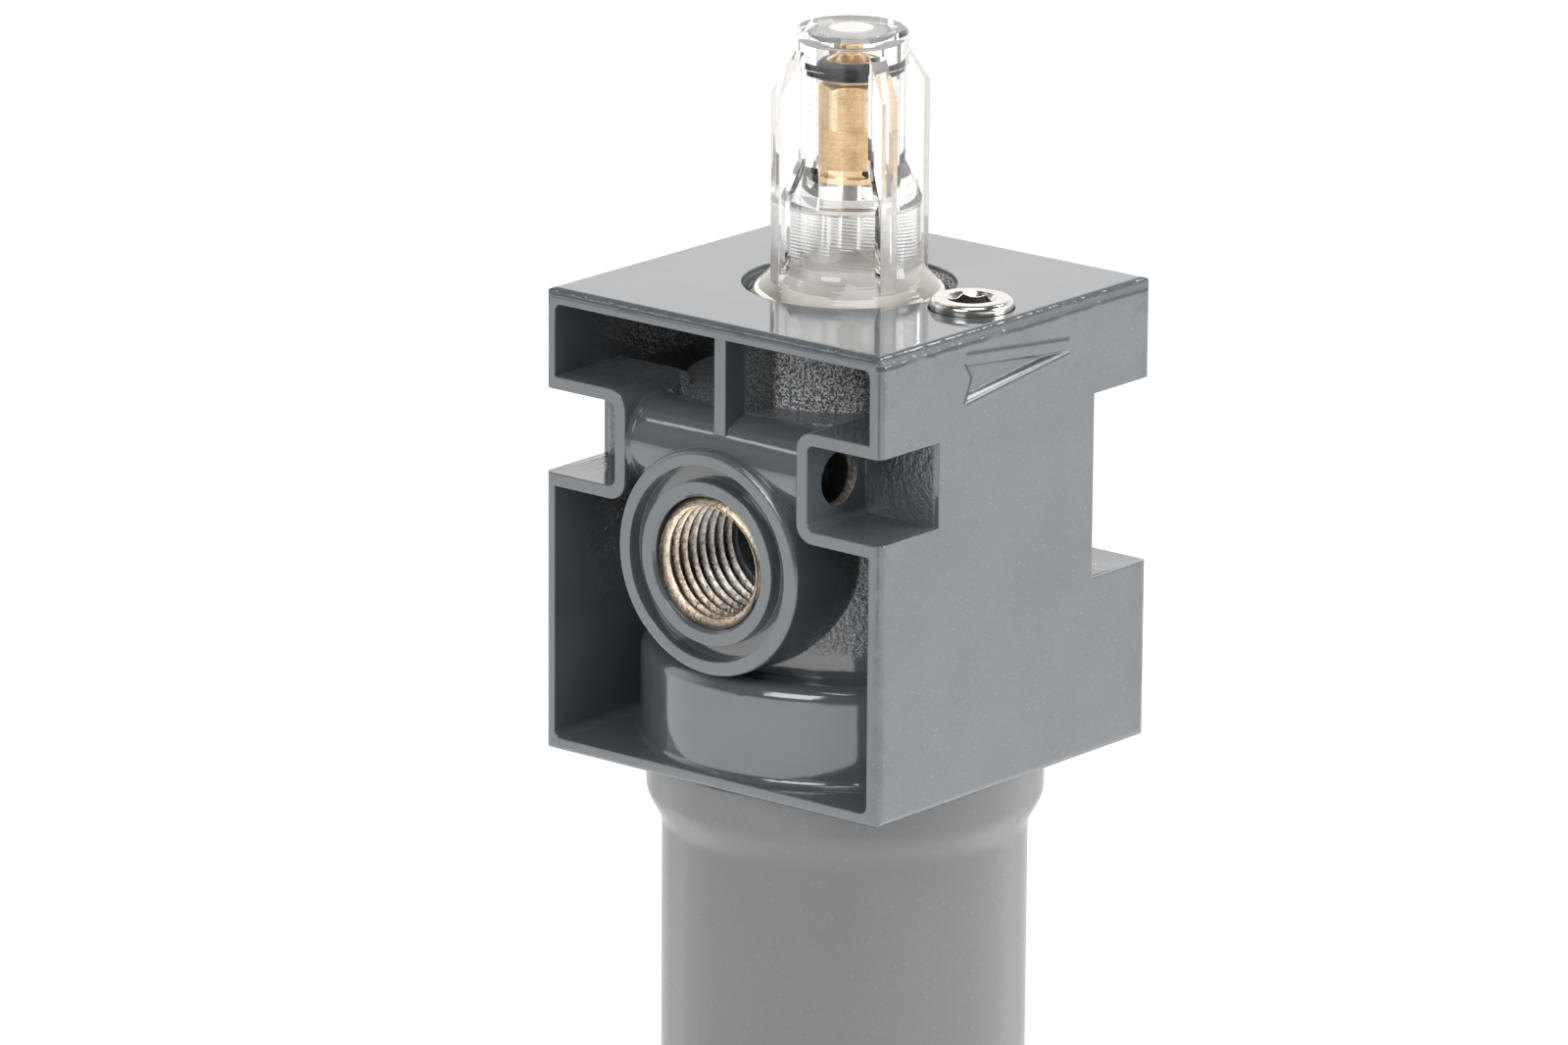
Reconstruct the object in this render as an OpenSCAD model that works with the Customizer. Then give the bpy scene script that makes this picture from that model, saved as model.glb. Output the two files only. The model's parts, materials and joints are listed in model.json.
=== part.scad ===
// Air line lubricator: a square cast head with two quarter-inch ports, a clear sight dome with
// an oil drip adjuster, and a round metal guard over a clear oil bowl.
// Millimetres. The origin is under the guard's foot, on the upright axis; air flows towards +X.
// What sits in or on the head is placed from the head's top face, inside at_head().

/* [Head casting] */
// Width and depth of the square head
head_w = 42; // [41.5:0.5:48]
// Height of the head
head_h = 46.7; // [45.5:0.1:54]
// Thickness of the top plate
top_t = 1.45; // [1.2:0.05:2]
// Thickness of the bottom plate
bottom_t = 1.4; // [1.2:0.05:2.4]
// Thickness of the closed front and back walls
wall_t = 1.3; // [1.1:0.05:2]
// Rounding of the outer edges
edge_r = 0.9; // [0.4:0.1:1.2]
// Rounding of the corners inside the open sides
inner_r = 0.8; // [0.4:0.1:1.2]
// Outside radius of the core round the air passage
core_r = 16.3; // [15.6:0.1:17.4]
// Wall of the bowl's socket
socket_wall = 1.7; // [1.4:0.1:2.2]
// Thickness of the socket's shoulder
shoulder_t = 1.6; // [1.4:0.1:2.4]
// Rounding of the socket's shoulder
shoulder_r = 1.6; // [1:0.1:2]
// Fillet between the socket and the bottom plate
socket_fillet = 0.65; // [0.4:0.05:0.8]

/* [Ports] */
// Height of the port axis above the roof of the bowl's socket
port_rise = 13.1; // [12.7:0.1:13.6]
// Radius over the port thread's roots, a quarter-inch pipe thread
port_r = 6.6; // [6.2:0.1:7]
// Depth of the port thread
port_depth = 11; // [9:0.5:11]
// How far each port ring stands out of the side
port_proud = 0.5; // [0.2:0.1:1]
// Chamfer at the port's mouth
port_chamfer = 0.3; // [0.2:0.1:0.6]
// Flat lip between the port and the seal groove
port_lip = 1.5; // [1.2:0.1:1.8]
// Width of the seal groove in the port's face
port_groove_w = 1.6; // [1:0.1:1.8]
// Depth of the seal groove
port_groove_d = 1.5; // [1:0.1:2]
// Width of the ring outside the seal groove
port_rim = 1.5; // [1.2:0.1:1.8]
// Rounding of that ring's outer edge
port_edge_r = 0.5; // [0.2:0.1:0.8]
// Radius of the air passage behind the thread
passage_r = 5.3; // [4.8:0.1:5.6]

/* [Clamp pockets] */
// Size of a corner pocket, along the side and across it
pocket_w = 9; // [8:0.1:9.4]
// Height of the two pockets on the inlet side
inlet_pocket_h = 8.5; // [8:0.1:9.5]
// Height of the two pockets on the outlet side
outlet_pocket_h = 18.7; // [12:0.1:20]
// Thickness of the pocket walls
pocket_wall = 1.25; // [1:0.05:1.5]
// Radius of the pocket walls' outer corners
pocket_r = 1.9; // [1.3:0.1:2.4]
// Radius of the cross bar that carries each clamp hole
bar_r = 4.45; // [4:0.05:4.8]
// Distance of the bar's axis behind the side face
bar_inset = 4.9; // [4.6:0.1:5.4]
// Height of the cast slope where a bar meets the pocket walls
bar_slope = 0.4; // [0.2:0.05:0.4]
// Radius of the clamp holes
clamp_r = 2.65; // [2.2:0.05:2.9]
// Metal left between a clamp hole and the port thread below it
clamp_web = 0.4; // [0.3:0.05:0.8]
// Thickness of the rib above each bar
rib_t = 1.4; // [1:0.1:2]
// How far the rib's edge lies behind the side face
rib_inset = 1.4; // [0.5:0.1:2]

/* [Flow arrow] */
// Length of the recessed flow arrow
arrow_l = 15.9; // [12:0.1:20]
// Height of the arrow's tail
arrow_h = 3.6; // [3:0.1:4.4]
// Length of the notch in the tail
arrow_notch = 1; // [0.5:0.1:2]
// Depth of the tail's upper corner below the top face
arrow_drop = 3.15; // [2.6:0.05:3.6]
// How far the tip lies below the tail's upper corner
arrow_dip = 1.65; // [1:0.05:2.4]
// Depth of the recess
arrow_depth = 0.6; // [0.3:0.05:0.8]
// How far the recess's walls slope inwards
arrow_slope = 0.4; // [0.1:0.05:0.5]

/* [Sight dome] */
// Height of the dome above the head
dome_h = 25.35; // [24:0.05:28]
// Radius of the top disc
disc_r = 5.55; // [5.45:0.05:6]
// Thickness of the top disc
disc_t = 3.5; // [2.5:0.1:4.5]
// Rounding of the disc's upper edge
disc_round = 0.4; // [0.2:0.1:0.8]
// Radius of the neck below the disc
neck_r = 5.35; // [5:0.05:5.4]
// Radius of the lower sight glass
glass_r = 7; // [6.8:0.1:7.4]
// Height of the sight glass, where the cone to the neck begins
glass_h = 8.7; // [8.2:0.1:9.6]
// Height of the cone between the sight glass and the neck
cone_h = 3.6; // [2.5:0.1:4.5]
// Radius of the skirt's lower edge
skirt_r = 9.8; // [9.6:0.1:10.2]
// Height at which the skirt begins to flare
skirt_h = 2.6; // [2:0.1:3.4]
// Depth of the skirt's edge below the top face
skirt_drop = 0.7; // [0.4:0.1:1]
// Radius over the four grip fins
fin_r = 8.2; // [8:0.1:8.8]
// Thickness of a fin
fin_t = 1.7; // [1.5:0.1:2]
// Angle of the first fin
fin_angle = 66.5; // [0:0.5:89]
// Depth below the dome's top at which a fin leaves the disc
fin_top_drop = 1.85; // [1:0.05:2.6]
// Depth below the dome's top at which a fin reaches its full radius
fin_drop = 5.85; // [4:0.05:8]
// Radius of the screwdriver hole in the disc
driver_r = 2.17; // [1.9:0.01:2.5]
// Radius of the bore that holds the drip adjuster
adjuster_bore_r = 3.4; // [3.3:0.05:3.6]
// Thickness of the disc over that bore
disc_web = 1.45; // [1.2:0.05:1.6]
// Radius of the sight chamber
chamber_r = 5; // [4.8:0.05:5.2]
// Height of the sight chamber's roof above the head
chamber_h = 8; // [7.4:0.1:8.6]
// Radius of the dome's threaded stem
stem_r = 8; // [7.8:0.1:8.2]
// Length of the stem below its flange
stem_l = 7.5; // [6.5:0.1:8]
// Thickness of the flange inside the head's counterbore
flange_t = 1.4; // [1:0.1:1.8]
// Gap between the skirt and its counterbore
dome_hole_gap = 0.75; // [0.5:0.05:0.9]
// Wall round the dome's counterbore
dome_boss_wall = 1.35; // [1:0.05:1.8]
// Section radius of the dome's seal
dome_seal_r = 0.85; // [0.75:0.05:0.9]

/* [Drip adjuster] */
// Depth of the adjusting screw's tip below the dome's top
tip_sink = 1.35; // [1.25:0.05:1.5]
// Radius of the slotted tip
tip_r = 1.1; // [0.9:0.05:1.3]
// Length of the slotted tip
tip_l = 1; // [0.8:0.05:1.1]
// Width of the screwdriver slot
slot_w = 0.5; // [0.3:0.05:0.7]
// Depth of the screwdriver slot
slot_d = 0.7; // [0.4:0.05:0.8]
// Height of the cone below the tip
tip_cone_h = 0.6; // [0.4:0.05:0.8]
// Radius of the screw's two collars
screw_collar_r = 2.4; // [2.2:0.05:2.6]
// Thickness of the lower collar
screw_collar_t = 0.35; // [0.25:0.05:0.5]
// Radius of the groove that holds the screw's seal
gland_r = 1.55; // [1.4:0.05:1.7]
// Radius of the screw's thread
screw_r = 1.5; // [1.3:0.05:1.6]
// Size of the bushing's hexagon across its flats
hex_af = 5.7; // [5:0.1:5.7]
// Height of the hexagon
hex_h = 4.4; // [4:0.1:5.6]
// Angle to which the hexagon is turned
hex_angle = 9.6; // [0:0.1:59]
// Radius of the plain barrel below the hexagon
barrel_r = 3.1; // [2.6:0.05:3.15]
// Height of the bushing's collar at its lower end
collar_h = 1.6; // [1.4:0.1:2]
// Thickness of the drip nozzle's disc
nozzle_t = 2.2; // [1.4:0.1:2.4]
// Radius of the needle's orifice
orifice_r = 0.5; // [0.4:0.05:0.6]
// Radius of the drip tube
drip_r = 1.2; // [1.1:0.05:1.5]
// Length of the drip tube below the chamber's roof
drip_l = 4.4; // [3:0.1:5]
// Radius of the drip tube's bore
drip_bore_r = 0.8; // [0.7:0.05:0.9]

/* [Filler plug] */
// Radius of the plug's flange
plug_flange_r = 4.1; // [3.9:0.05:4.3]
// Height of the plug above the head
plug_h = 1; // [0.6:0.1:1.6]
// Rounding of the plug's upper edge
plug_round = 0.55; // [0.3:0.05:0.8]
// Radius of the plug's thread
plug_r = 3.4; // [3.2:0.05:3.5]
// Length of the plug's thread below its flange
plug_l = 7; // [6:0.1:8]
// Size of the hexagon socket across its flats
key_af = 4; // [3.5:0.1:4.4]
// Depth of the hexagon socket
key_d = 3; // [2:0.1:3.6]
// Depth of the flange's underside below the top face
plug_sink = 1; // [0.8:0.1:1.3]
// Thickness of the plug's seal
plug_seal_t = 1; // [0.8:0.05:1.2]
// Gap between the flange and its counterbore
plug_hole_gap = 0.15; // [0.1:0.05:0.2]
// Metal left between the plug's and the dome's counterbores
plug_web = 0.35; // [0.3:0.05:0.5]
// Wall round the plug's thread
plug_wall = 1.5; // [1.2:0.1:2]
// Free depth below the plug
plug_well = 4; // [3.5:0.1:5]
// Radius of the oil channel from the plug to the bowl
fill_r = 2.2; // [1.8:0.1:2.4]
// Distance of the oil channel from the axis
fill_y = 12; // [11.8:0.1:12.4]

/* [Air passage insert] */
// Radius of the insert
insert_r = 7.15; // [7:0.05:7.3]
// Height of the insert's top above the port axis
insert_rise = 8.6; // [8.2:0.1:9]
// Radius of the insert's flange under the socket's roof
insert_flange_r = 8.3; // [8:0.1:8.5]
// Thickness of that flange
insert_flange_t = 2; // [1.6:0.1:2.5]
// Radius of the air passage through the insert
throat_r = 4; // [3.7:0.1:4.2]
// Outside radius of the venturi tube
venturi_r = 2.4; // [2.2:0.1:2.6]
// Radius of the venturi tube's narrowest bore
venturi_bore_r = 1.2; // [1:0.1:1.4]
// Radius of the venturi tube's mouths
venturi_mouth_r = 1.9; // [1.6:0.1:2]
// Thickness of the web that carries the venturi tube
web_t = 2.2; // [2:0.1:2.6]
// Distance of the damper's seat from the axis
damper_x = 4.6; // [4.2:0.1:4.7]
// Thickness of the damper
damper_t = 0.4; // [0.3:0.05:0.5]
// Overlap of the damper on its seat
damper_lap = 0.4; // [0.3:0.05:0.5]
// Thickness of the push-on clip behind the damper
clip_t = 0.8; // [0.6:0.1:1]
// Radius of the clip
clip_r = 3.2; // [3:0.1:3.4]
// Radius of the drilled oil ways
oilway_r = 0.45; // [0.35:0.05:0.5]
// Wall between the insert's oil way and its air passage
oilway_wall = 0.5; // [0.4:0.05:0.6]
// Section radius of the insert's two seals
insert_seal_r = 0.6; // [0.5:0.05:0.65]

/* [Bowl pressure valve] */
// Radius of the valve's chamber
valve_r = 1.7; // [1.6:0.05:1.8]
// Metal left between the valve's chamber and the air passage
valve_web = 2.3; // [1.8:0.1:2.6]
// Radius of the valve's ball
valve_ball_r = 1.2; // [1.1:0.05:1.3]
// Lift of the valve's ball
valve_lift = 0.5; // [0.3:0.05:0.8]
// Radius of the valve's two holes
bleed_r = 0.6; // [0.4:0.05:0.7]

/* [Oil pickup] */
// Height of the feed valve's barrel below the insert
feed_barrel_l = 4; // [3.8:0.1:6]
// Radius of the feed valve's barrel
feed_barrel_r = 2.6; // [2.4:0.1:3]
// Radius of the feed valve's spigot
feed_spigot_r = 2; // [1.9:0.05:2.1]
// Radius of the feed valve's ball
feed_ball_r = 1.2; // [1.1:0.05:1.25]
// Lift of the feed valve's ball
feed_lift = 1; // [0.5:0.1:1.2]
// Radius of the feed valve's seat hole
feed_hole_r = 0.7; // [0.5:0.05:0.8]
// Inner radius of the pickup tube
tube_bore_r = 1.3; // [1.2:0.05:1.5]
// Wall of the pickup tube
tube_wall = 0.7; // [0.6:0.05:1]
// Length of the tube's grip at each end
tube_grip = 4; // [3:0.5:5]
// Radius of the strainer
strainer_r = 3.6; // [3.2:0.1:4]
// Length of the strainer
strainer_l = 9; // [8:0.5:12]
// Wall of the strainer
strainer_wall = 1; // [0.8:0.1:1.2]
// Height of the strainer above the bowl's floor
strainer_gap = 3; // [2:0.5:6]

/* [Bowl] */
// Radius of the bowl's socket in the head
socket_r = 18.5; // [18.3:0.1:18.8]
// Depth of the bowl's socket
socket_depth = 9.7; // [9.5:0.1:10.4]
// Thickness of the bowl's flange
bowl_flange_t = 1.8; // [1.4:0.1:2]
// Gap between the bowl and the guard round it
bowl_side_gap = 0.65; // [0.5:0.05:1]
// Wall of the bowl
bowl_wall = 1.8; // [1.4:0.1:2]
// Gap between the bowl's floor and the guard's floor
bowl_gap = 3; // [2:0.5:6]
// Rounding of the bowl's lower edge
bowl_round = 5; // [4:0.5:7]
// Section radius of the bowl's seal
bowl_seal_r = 0.9; // [0.8:0.05:0.9]

/* [Bowl guard] */
// Length of the guard below the head
guard_l = 82; // [70:1:100]
// Outside radius of the guard
guard_r = 18.05; // [17.9:0.05:18.2]
// Wall of the guard
guard_wall = 1; // [0.8:0.05:1.1]
// Outside radius of the collar under the head
collar_r = 19.6; // [19:0.1:20.2]
// Height of the collar
collar_l = 3.5; // [2.5:0.1:5]
// Length of the curve from the collar to the guard
collar_curve = 4; // [3:0.1:6]
// Gap between the collar and the head
collar_gap = 0.3; // [0.2:0.05:0.5]
// Rounding of the foot
foot_r = 4; // [3:0.5:5]
// Thickness of the guard's floor
floor_t = 1.2; // [1:0.1:2]
// Width of the two sight slots
window_w = 8; // [6:0.5:10]
// Length of the sight slots
window_l = 38; // [30:1:42]
// Height of the slots' lower end above the foot
window_z = 11; // [9:0.5:14]

/* [Fits] */
// Radial clearance of the screwed pieces
thread_gap = 0.1; // [0.05:0.01:0.1]
// Clearance of pieces set in their seats
seat_gap = 0.05; // [0.03:0.01:0.06]
// Radial gap between the bowl's flange and its socket
flange_gap = 0.3; // [0.2:0.05:0.4]
// Height of a face seal when squeezed, as a share of its section
squeeze = 0.9; // [0.8:0.05:0.95]

/* [Hidden] */
$fn = 72;
// Length by which a cut passes the face that it opens
cut = 1;

// Head: half its width, and its top face above the foot
half_w = head_w / 2;
head_top = guard_l + head_h;
roof_z = socket_depth - head_h;
shoulder_z = roof_z + shoulder_t;
socket_outer_r = socket_r + socket_wall;

// Ports
port_z = roof_z + port_rise;
port_face = half_w + port_proud;
port_end = port_face - port_depth;
port_groove_r = port_r + port_lip;
port_boss_r = port_groove_r + port_groove_w + port_rim;

// Clamp pockets and bars; the pockets' upper edges are level with the core's flat top
pocket_x = half_w - pocket_w;
bar_x = half_w - bar_inset;
bar_z = port_z + port_r + clamp_web + clamp_r;
core_top_z = bar_z + inlet_pocket_h / 2;

// Sight dome and its socket
dome_hole_r = skirt_r + dome_hole_gap;
dome_boss_r = dome_hole_r + dome_boss_wall;
dome_seat_z = -flange_t - 2 * dome_seal_r * squeeze;
stem_bore_r = stem_r + thread_gap;
stem_z = -flange_t - stem_l;
stem_floor_z = stem_z - 2 * thread_gap;
feed_ring_r = chamber_r + oilway_wall;
feed_ring_w = 1.4;
feed_ring_d = 0.8;
fin_feed_r = glass_r - oilway_wall;
skirt_steps = 8;
drain_r = 2.2;

// Drip adjuster
bushing_z = chamber_h + nozzle_t;
feed_hole_z = bushing_z + collar_h / 2 + orifice_r / 2;
tip_z = dome_h - tip_sink;
gland_top_z = tip_z - tip_l - tip_cone_h;
needle_seal_r = (adjuster_bore_r - gland_r) / 2 - seat_gap;
gland_z = gland_top_z - 2 * needle_seal_r - 2 * seat_gap;
screw_collar_z = gland_z - screw_collar_t;
hex_z = screw_collar_z - seat_gap;
orifice_l = 0.6;
needle_chamber_r = 1.1;
needle_r = needle_chamber_r - 2 * thread_gap;

// Filler plug
plug_hole_r = plug_flange_r + plug_hole_gap;
plug_y = dome_hole_r + plug_hole_r + plug_web;
plug_seat_z = -plug_sink - plug_seal_t;
plug_bore_r = plug_r + thread_gap;
plug_bore_z = -plug_sink - plug_l - plug_well;

// Air passage insert
insert_bore_r = insert_r + seat_gap;
insert_top_z = port_z + insert_rise;
insert_bore_z = insert_top_z + 2 * seat_gap;
venturi_half_l = damper_x + damper_t + clip_t + 0.5;
oilway_y = throat_r + oilway_wall + oilway_r;
head_oilway_y = feed_ring_r + oilway_r + seat_gap;
insert_groove_r = insert_bore_r - 2 * insert_seal_r - seat_gap;
upper_seal_z = (insert_top_z + port_z + throat_r) / 2;
lower_seal_z = roof_z + 3.5;

// Bowl pressure valve
valve_x = insert_flange_r + bleed_r + valve_r;
bleed_x = valve_x - 1.5 * bleed_r;
valve_top_z = port_z - passage_r - valve_web;
valve_ball_z = valve_top_z - valve_ball_r - valve_lift - seat_gap;
valve_seat_z = valve_ball_z - seat_gap - sqrt(pow(valve_ball_r, 2) - pow(bleed_r, 2));

// Oil pickup
feed_top_z = roof_z - insert_flange_t;
feed_stop_z = roof_z - 2 * seat_gap;
feed_ball_z = feed_stop_z - feed_ball_r - feed_lift - seat_gap;
feed_seat_z = feed_ball_z - seat_gap - sqrt(pow(feed_ball_r, 2) - pow(feed_hole_r, 2));
feed_chamber_r = feed_ball_r + 0.2;
nipple_z = feed_top_z - feed_barrel_l;
nipple_r = tube_bore_r - seat_gap;
tube_r = tube_bore_r + tube_wall;

// Bowl and guard
bowl_flange_r = socket_r - flange_gap;
bowl_flange_z = roof_z - 2 * bowl_seal_r * squeeze;
guard_top_z = bowl_flange_z - bowl_flange_t;
guard_neck_r = socket_r - thread_gap;
guard_bore_r = guard_r - guard_wall;
bowl_r = guard_bore_r - bowl_side_gap;
bowl_bore_r = bowl_r - bowl_wall;
bowl_floor_z = floor_t + bowl_gap;
strainer_z = bowl_floor_z + bowl_wall + strainer_gap - head_top;
curve_steps = 12;

// Colours
grey_paint = [0.42, 0.45, 0.47];
clear_plastic = [0.85, 0.9, 0.93, 0.4];
brass = [0.85, 0.68, 0.35];
bright_steel = [0.8, 0.8, 0.82];
black_rubber = [0.08, 0.08, 0.08];
pale_plastic = [0.75, 0.76, 0.76];

// What sits in or on the head, from the head's top face
module at_head() {
    translate([0, 0, head_top])
        children();
}

// Rectangle with rounded corners, centred
module rounded_rectangle(w, h, r) {
    square([w - 2 * r, h], center = true);
    square([w, h - 2 * r], center = true);
    for (x = [-1, 1], y = [-1, 1])
        translate([x * (w / 2 - r), y * (h / 2 - r)])
            circle(r);
}

// Prism along X of a rounded rectangle, between two x, around a centre in Y and Z
module rounded_bar_x(x1, x2, y, z, w, h, r) {
    translate([x1, y, z])
        rotate([90, 0, 90])
            linear_extrude(x2 - x1)
                rounded_rectangle(w, h, r);
}

// Cylinder along X between two x, at a height
module cylinder_x(x1, x2, z, r1, r2) {
    translate([x1, 0, z])
        rotate([0, 90, 0])
            cylinder(x2 - x1, r1, r2);
}

// Ring of round section, with flats above and below it when it is squeezed
module o_ring(middle_r, section_r, share = 1) {
    rotate_extrude()
        translate([middle_r, 0])
            intersection() {
                circle(section_r);
                square([3 * section_r, 2 * section_r * share], center = true);
            }
}

// Half section of a cylinder whose lower edge is rounded
module foot_section(r, h, round) {
    translate([0, round])
        square([r, h - round]);
    square([r - round, 2 * round]);
    translate([r - round, round])
        circle(round);
}

module round_foot(r, h, round) {
    rotate_extrude()
        foot_section(r, h, round);
}

// Head casting

// Square block with all its edges rounded
module head_block() {
    translate([0, 0, -head_h / 2])
        intersection() {
            linear_extrude(head_h, center = true)
                rounded_rectangle(head_w, head_w, edge_r);
            rotate([90, 0, 0])
                linear_extrude(head_w, center = true)
                    rounded_rectangle(head_w, head_h, edge_r);
            rotate([90, 0, 90])
                linear_extrude(head_w, center = true)
                    rounded_rectangle(head_w, head_h, edge_r);
        }
}

// The four walls, open on both sides
module head_shell() {
    difference() {
        head_block();
        rounded_bar_x(-half_w - cut, half_w + cut, 0, -(head_h + top_t - bottom_t) / 2,
            head_w - 2 * wall_t, head_h - top_t - bottom_t, inner_r);
    }
}

// Socket for the bowl, with a rounded shoulder and a fillet at the bottom plate between the walls
module socket_body() {
    plate_z = bottom_t - head_h;
    fillet_w = 2 * (half_w - wall_t - inner_r - socket_fillet);
    translate([0, 0, shoulder_z])
        mirror([0, 0, 1])
            round_foot(socket_outer_r, shoulder_z - plate_z + bottom_t / 2, shoulder_r);
    translate([0, 0, plate_z])
        intersection() {
            rotate_extrude()
                difference() {
                    square([socket_outer_r + socket_fillet, socket_fillet]);
                    translate([socket_outer_r + socket_fillet, socket_fillet])
                        circle(socket_fillet);
                }
            cube([head_w, fillet_w, 2 * socket_fillet], center = true);
        }
}

// Core round the air passage, with the boss for the dome on top
module core_body() {
    translate([0, 0, roof_z])
        cylinder(core_top_z - roof_z, r = core_r);
    translate([0, 0, core_top_z - cut])
        cylinder(cut - core_top_z - top_t / 2, r = dome_boss_r);
    translate([0, -plug_y, plug_bore_z - plug_wall])
        cylinder(plug_wall - plug_bore_z - top_t / 2, r = plug_bore_r + plug_wall);
}

// Walls of one corner pocket on the +X, +Y corner
module pocket_body(pocket_h) {
    middle_z = core_top_z - pocket_h / 2;
    rounded_bar_x(pocket_x - pocket_wall, half_w, half_w, middle_z,
        2 * (pocket_w + pocket_wall), pocket_h + 2 * pocket_wall, pocket_r);
}

// Hollow of that pocket
module pocket_hollow(pocket_h) {
    middle_z = core_top_z - pocket_h / 2;
    rounded_bar_x(pocket_x, half_w + cut, half_w + cut, middle_z,
        2 * (pocket_w + cut), pocket_h, inner_r);
}

// Both pockets of one side
module pocket_pair(side, hollow) {
    pocket_h = side < 0 ? inlet_pocket_h : outlet_pocket_h;
    for (y = [0, 1])
        mirror([side < 0 ? 1 : 0, 0, 0])
            mirror([0, y, 0])
                if (hollow)
                    pocket_hollow(pocket_h);
                else
                    pocket_body(pocket_h);
}

// Half outline of a cross bar, with a slope at both ends
module bar_outline() {
    end = pocket_x - pocket_wall / 2;
    foot = pocket_x - pocket_wall;
    polygon([
        [0, -end], [bar_r + bar_slope, -end], [bar_r + bar_slope, -foot],
        [bar_r, bar_slope - foot], [bar_r, foot - bar_slope],
        [bar_r + bar_slope, foot], [bar_r + bar_slope, end], [0, end]
    ]);
}

// Cross bar for a clamp bolt and the rib above it
module clamp_bar(side) {
    translate([side * bar_x, 0, bar_z])
        rotate([90, 0, 0])
            rotate_extrude()
                bar_outline();
    rib_l = half_w - rib_inset - dome_boss_r / 2;
    translate([side * (half_w - rib_inset - rib_l / 2), 0, (bar_z - top_t / 2) / 2])
        cube([rib_l, rib_t, -bar_z - top_t / 2], center = true);
}

// Round boss of the outlet port, standing proud of the side
module port_boss() {
    translate([port_face, 0, port_z])
        rotate([0, -90, 0])
            round_foot(port_boss_r, port_face, port_edge_r);
}

// Thread bore, chamfer, seal groove and passage of the outlet port
module port_bores() {
    cylinder_x(port_end, port_face + cut, port_z, port_r, port_r);
    cylinder_x(port_face - port_chamfer, port_face, port_z, port_r, port_r + port_chamfer);
    cylinder_x(0, port_end + cut, port_z, passage_r, passage_r);
    difference() {
        cylinder_x(port_face - port_groove_d, port_face + cut, port_z,
            port_groove_r + port_groove_w, port_groove_r + port_groove_w);
        cylinder_x(port_face - port_groove_d - cut, port_face + 2 * cut, port_z,
            port_groove_r, port_groove_r);
    }
}

// Upright bores of the head: dome, drip, filler, oil, pressure valve, insert and bowl
module upright_bores() {
    translate([0, 0, dome_seat_z])
        cylinder(cut - dome_seat_z, r = dome_hole_r);
    translate([0, 0, stem_floor_z])
        cylinder(cut - stem_floor_z, r = stem_bore_r);
    translate([0, 0, insert_bore_z - cut])
        cylinder(stem_floor_z - insert_bore_z + 2 * cut, r = drain_r);
    translate([0, head_oilway_y, insert_bore_z - cut])
        cylinder(stem_floor_z - insert_bore_z + 2 * cut, r = oilway_r);
    translate([0, 0, roof_z - cut])
        cylinder(insert_bore_z - roof_z + cut, r = insert_bore_r);
    translate([0, 0, -head_h - cut])
        cylinder(roof_z + head_h + cut, r = socket_r);
    translate([0, -plug_y, plug_seat_z])
        cylinder(cut - plug_seat_z, r = plug_hole_r);
    translate([0, -plug_y, plug_bore_z])
        cylinder(cut - plug_bore_z, r = plug_bore_r);
    translate([0, -fill_y, roof_z - cut])
        cylinder(plug_bore_z - roof_z + 2 * cut, r = fill_r);
    translate([-valve_x, 0, roof_z - cut])
        cylinder(valve_top_z - roof_z + cut, r = valve_r);
    translate([-bleed_x, 0, valve_top_z - cut])
        cylinder(port_z - valve_top_z + cut, r = bleed_r);
}

// Outline of the flow arrow, which points along X
module arrow_outline() {
    polygon([
        [-arrow_l / 2, 0],
        [arrow_l / 2, -arrow_dip],
        [-arrow_l / 2, -arrow_h],
        [arrow_notch - arrow_l / 2, -arrow_h * 0.4]
    ]);
}

// Upper or lower half of the arrow's outline, drawn in by an inset
module arrow_half(tail_y, inset) {
    overlap = tail_y < 0 ? arrow_h / 50 : -arrow_h / 50;
    intersection() {
        offset(delta = -inset)
            arrow_outline();
        polygon([
            [-arrow_l / 2, tail_y],
            [arrow_l / 2, -arrow_dip],
            [arrow_notch - arrow_l / 2, -arrow_h * 0.4 + overlap]
        ]);
    }
}

// Flow arrow sunk into the front face, with walls that slope to its floor
module arrow_recess() {
    translate([0, -half_w + arrow_depth, -arrow_drop])
        rotate([90, 0, 0])
            for (tail_y = [0, -arrow_h])
                hull() {
                    translate([0, 0, arrow_depth])
                        linear_extrude(cut)
                            arrow_half(tail_y, 0);
                    linear_extrude(cut)
                        arrow_half(tail_y, arrow_slope);
                }
}

module head_casting() {
    color(grey_paint)
        at_head()
            difference() {
                union() {
                    head_shell();
                    intersection() {
                        head_block();
                        union() {
                            socket_body();
                            core_body();
                            for (side = [-1, 1]) {
                                pocket_pair(side, false);
                                clamp_bar(side);
                            }
                        }
                    }
                    port_boss();
                    mirror([1, 0, 0])
                        port_boss();
                }
                for (side = [-1, 1]) {
                    pocket_pair(side, true);
                    translate([side * bar_x, 0, bar_z])
                        rotate([90, 0, 0])
                            cylinder(2 * pocket_x + 2 * cut, r = clamp_r, center = true);
                }
                port_bores();
                mirror([1, 0, 0])
                    port_bores();
                upright_bores();
                arrow_recess();
            }
}

// Sight dome

// Outline of the dome's round body, from its stem to its top disc
function skirt_points() = [
    for (i = [0:skirt_steps])
        let (t = i / skirt_steps)
            [skirt_r - (skirt_r - glass_r) * (1 - pow(1 - t, 1.6)),
             -skirt_drop + t * (skirt_h + skirt_drop)]
];

module dome_outline() {
    polygon(concat(
        [[0, stem_z], [stem_r, stem_z], [stem_r, -flange_t], [skirt_r, -flange_t]],
        skirt_points(),
        [
            [glass_r, glass_h],
            [neck_r, glass_h + cone_h],
            [neck_r, dome_h - disc_t],
            [disc_r, dome_h - disc_t],
            [disc_r, dome_h - disc_round],
            [disc_r - disc_round, dome_h],
            [0, dome_h]
        ]));
}

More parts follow.
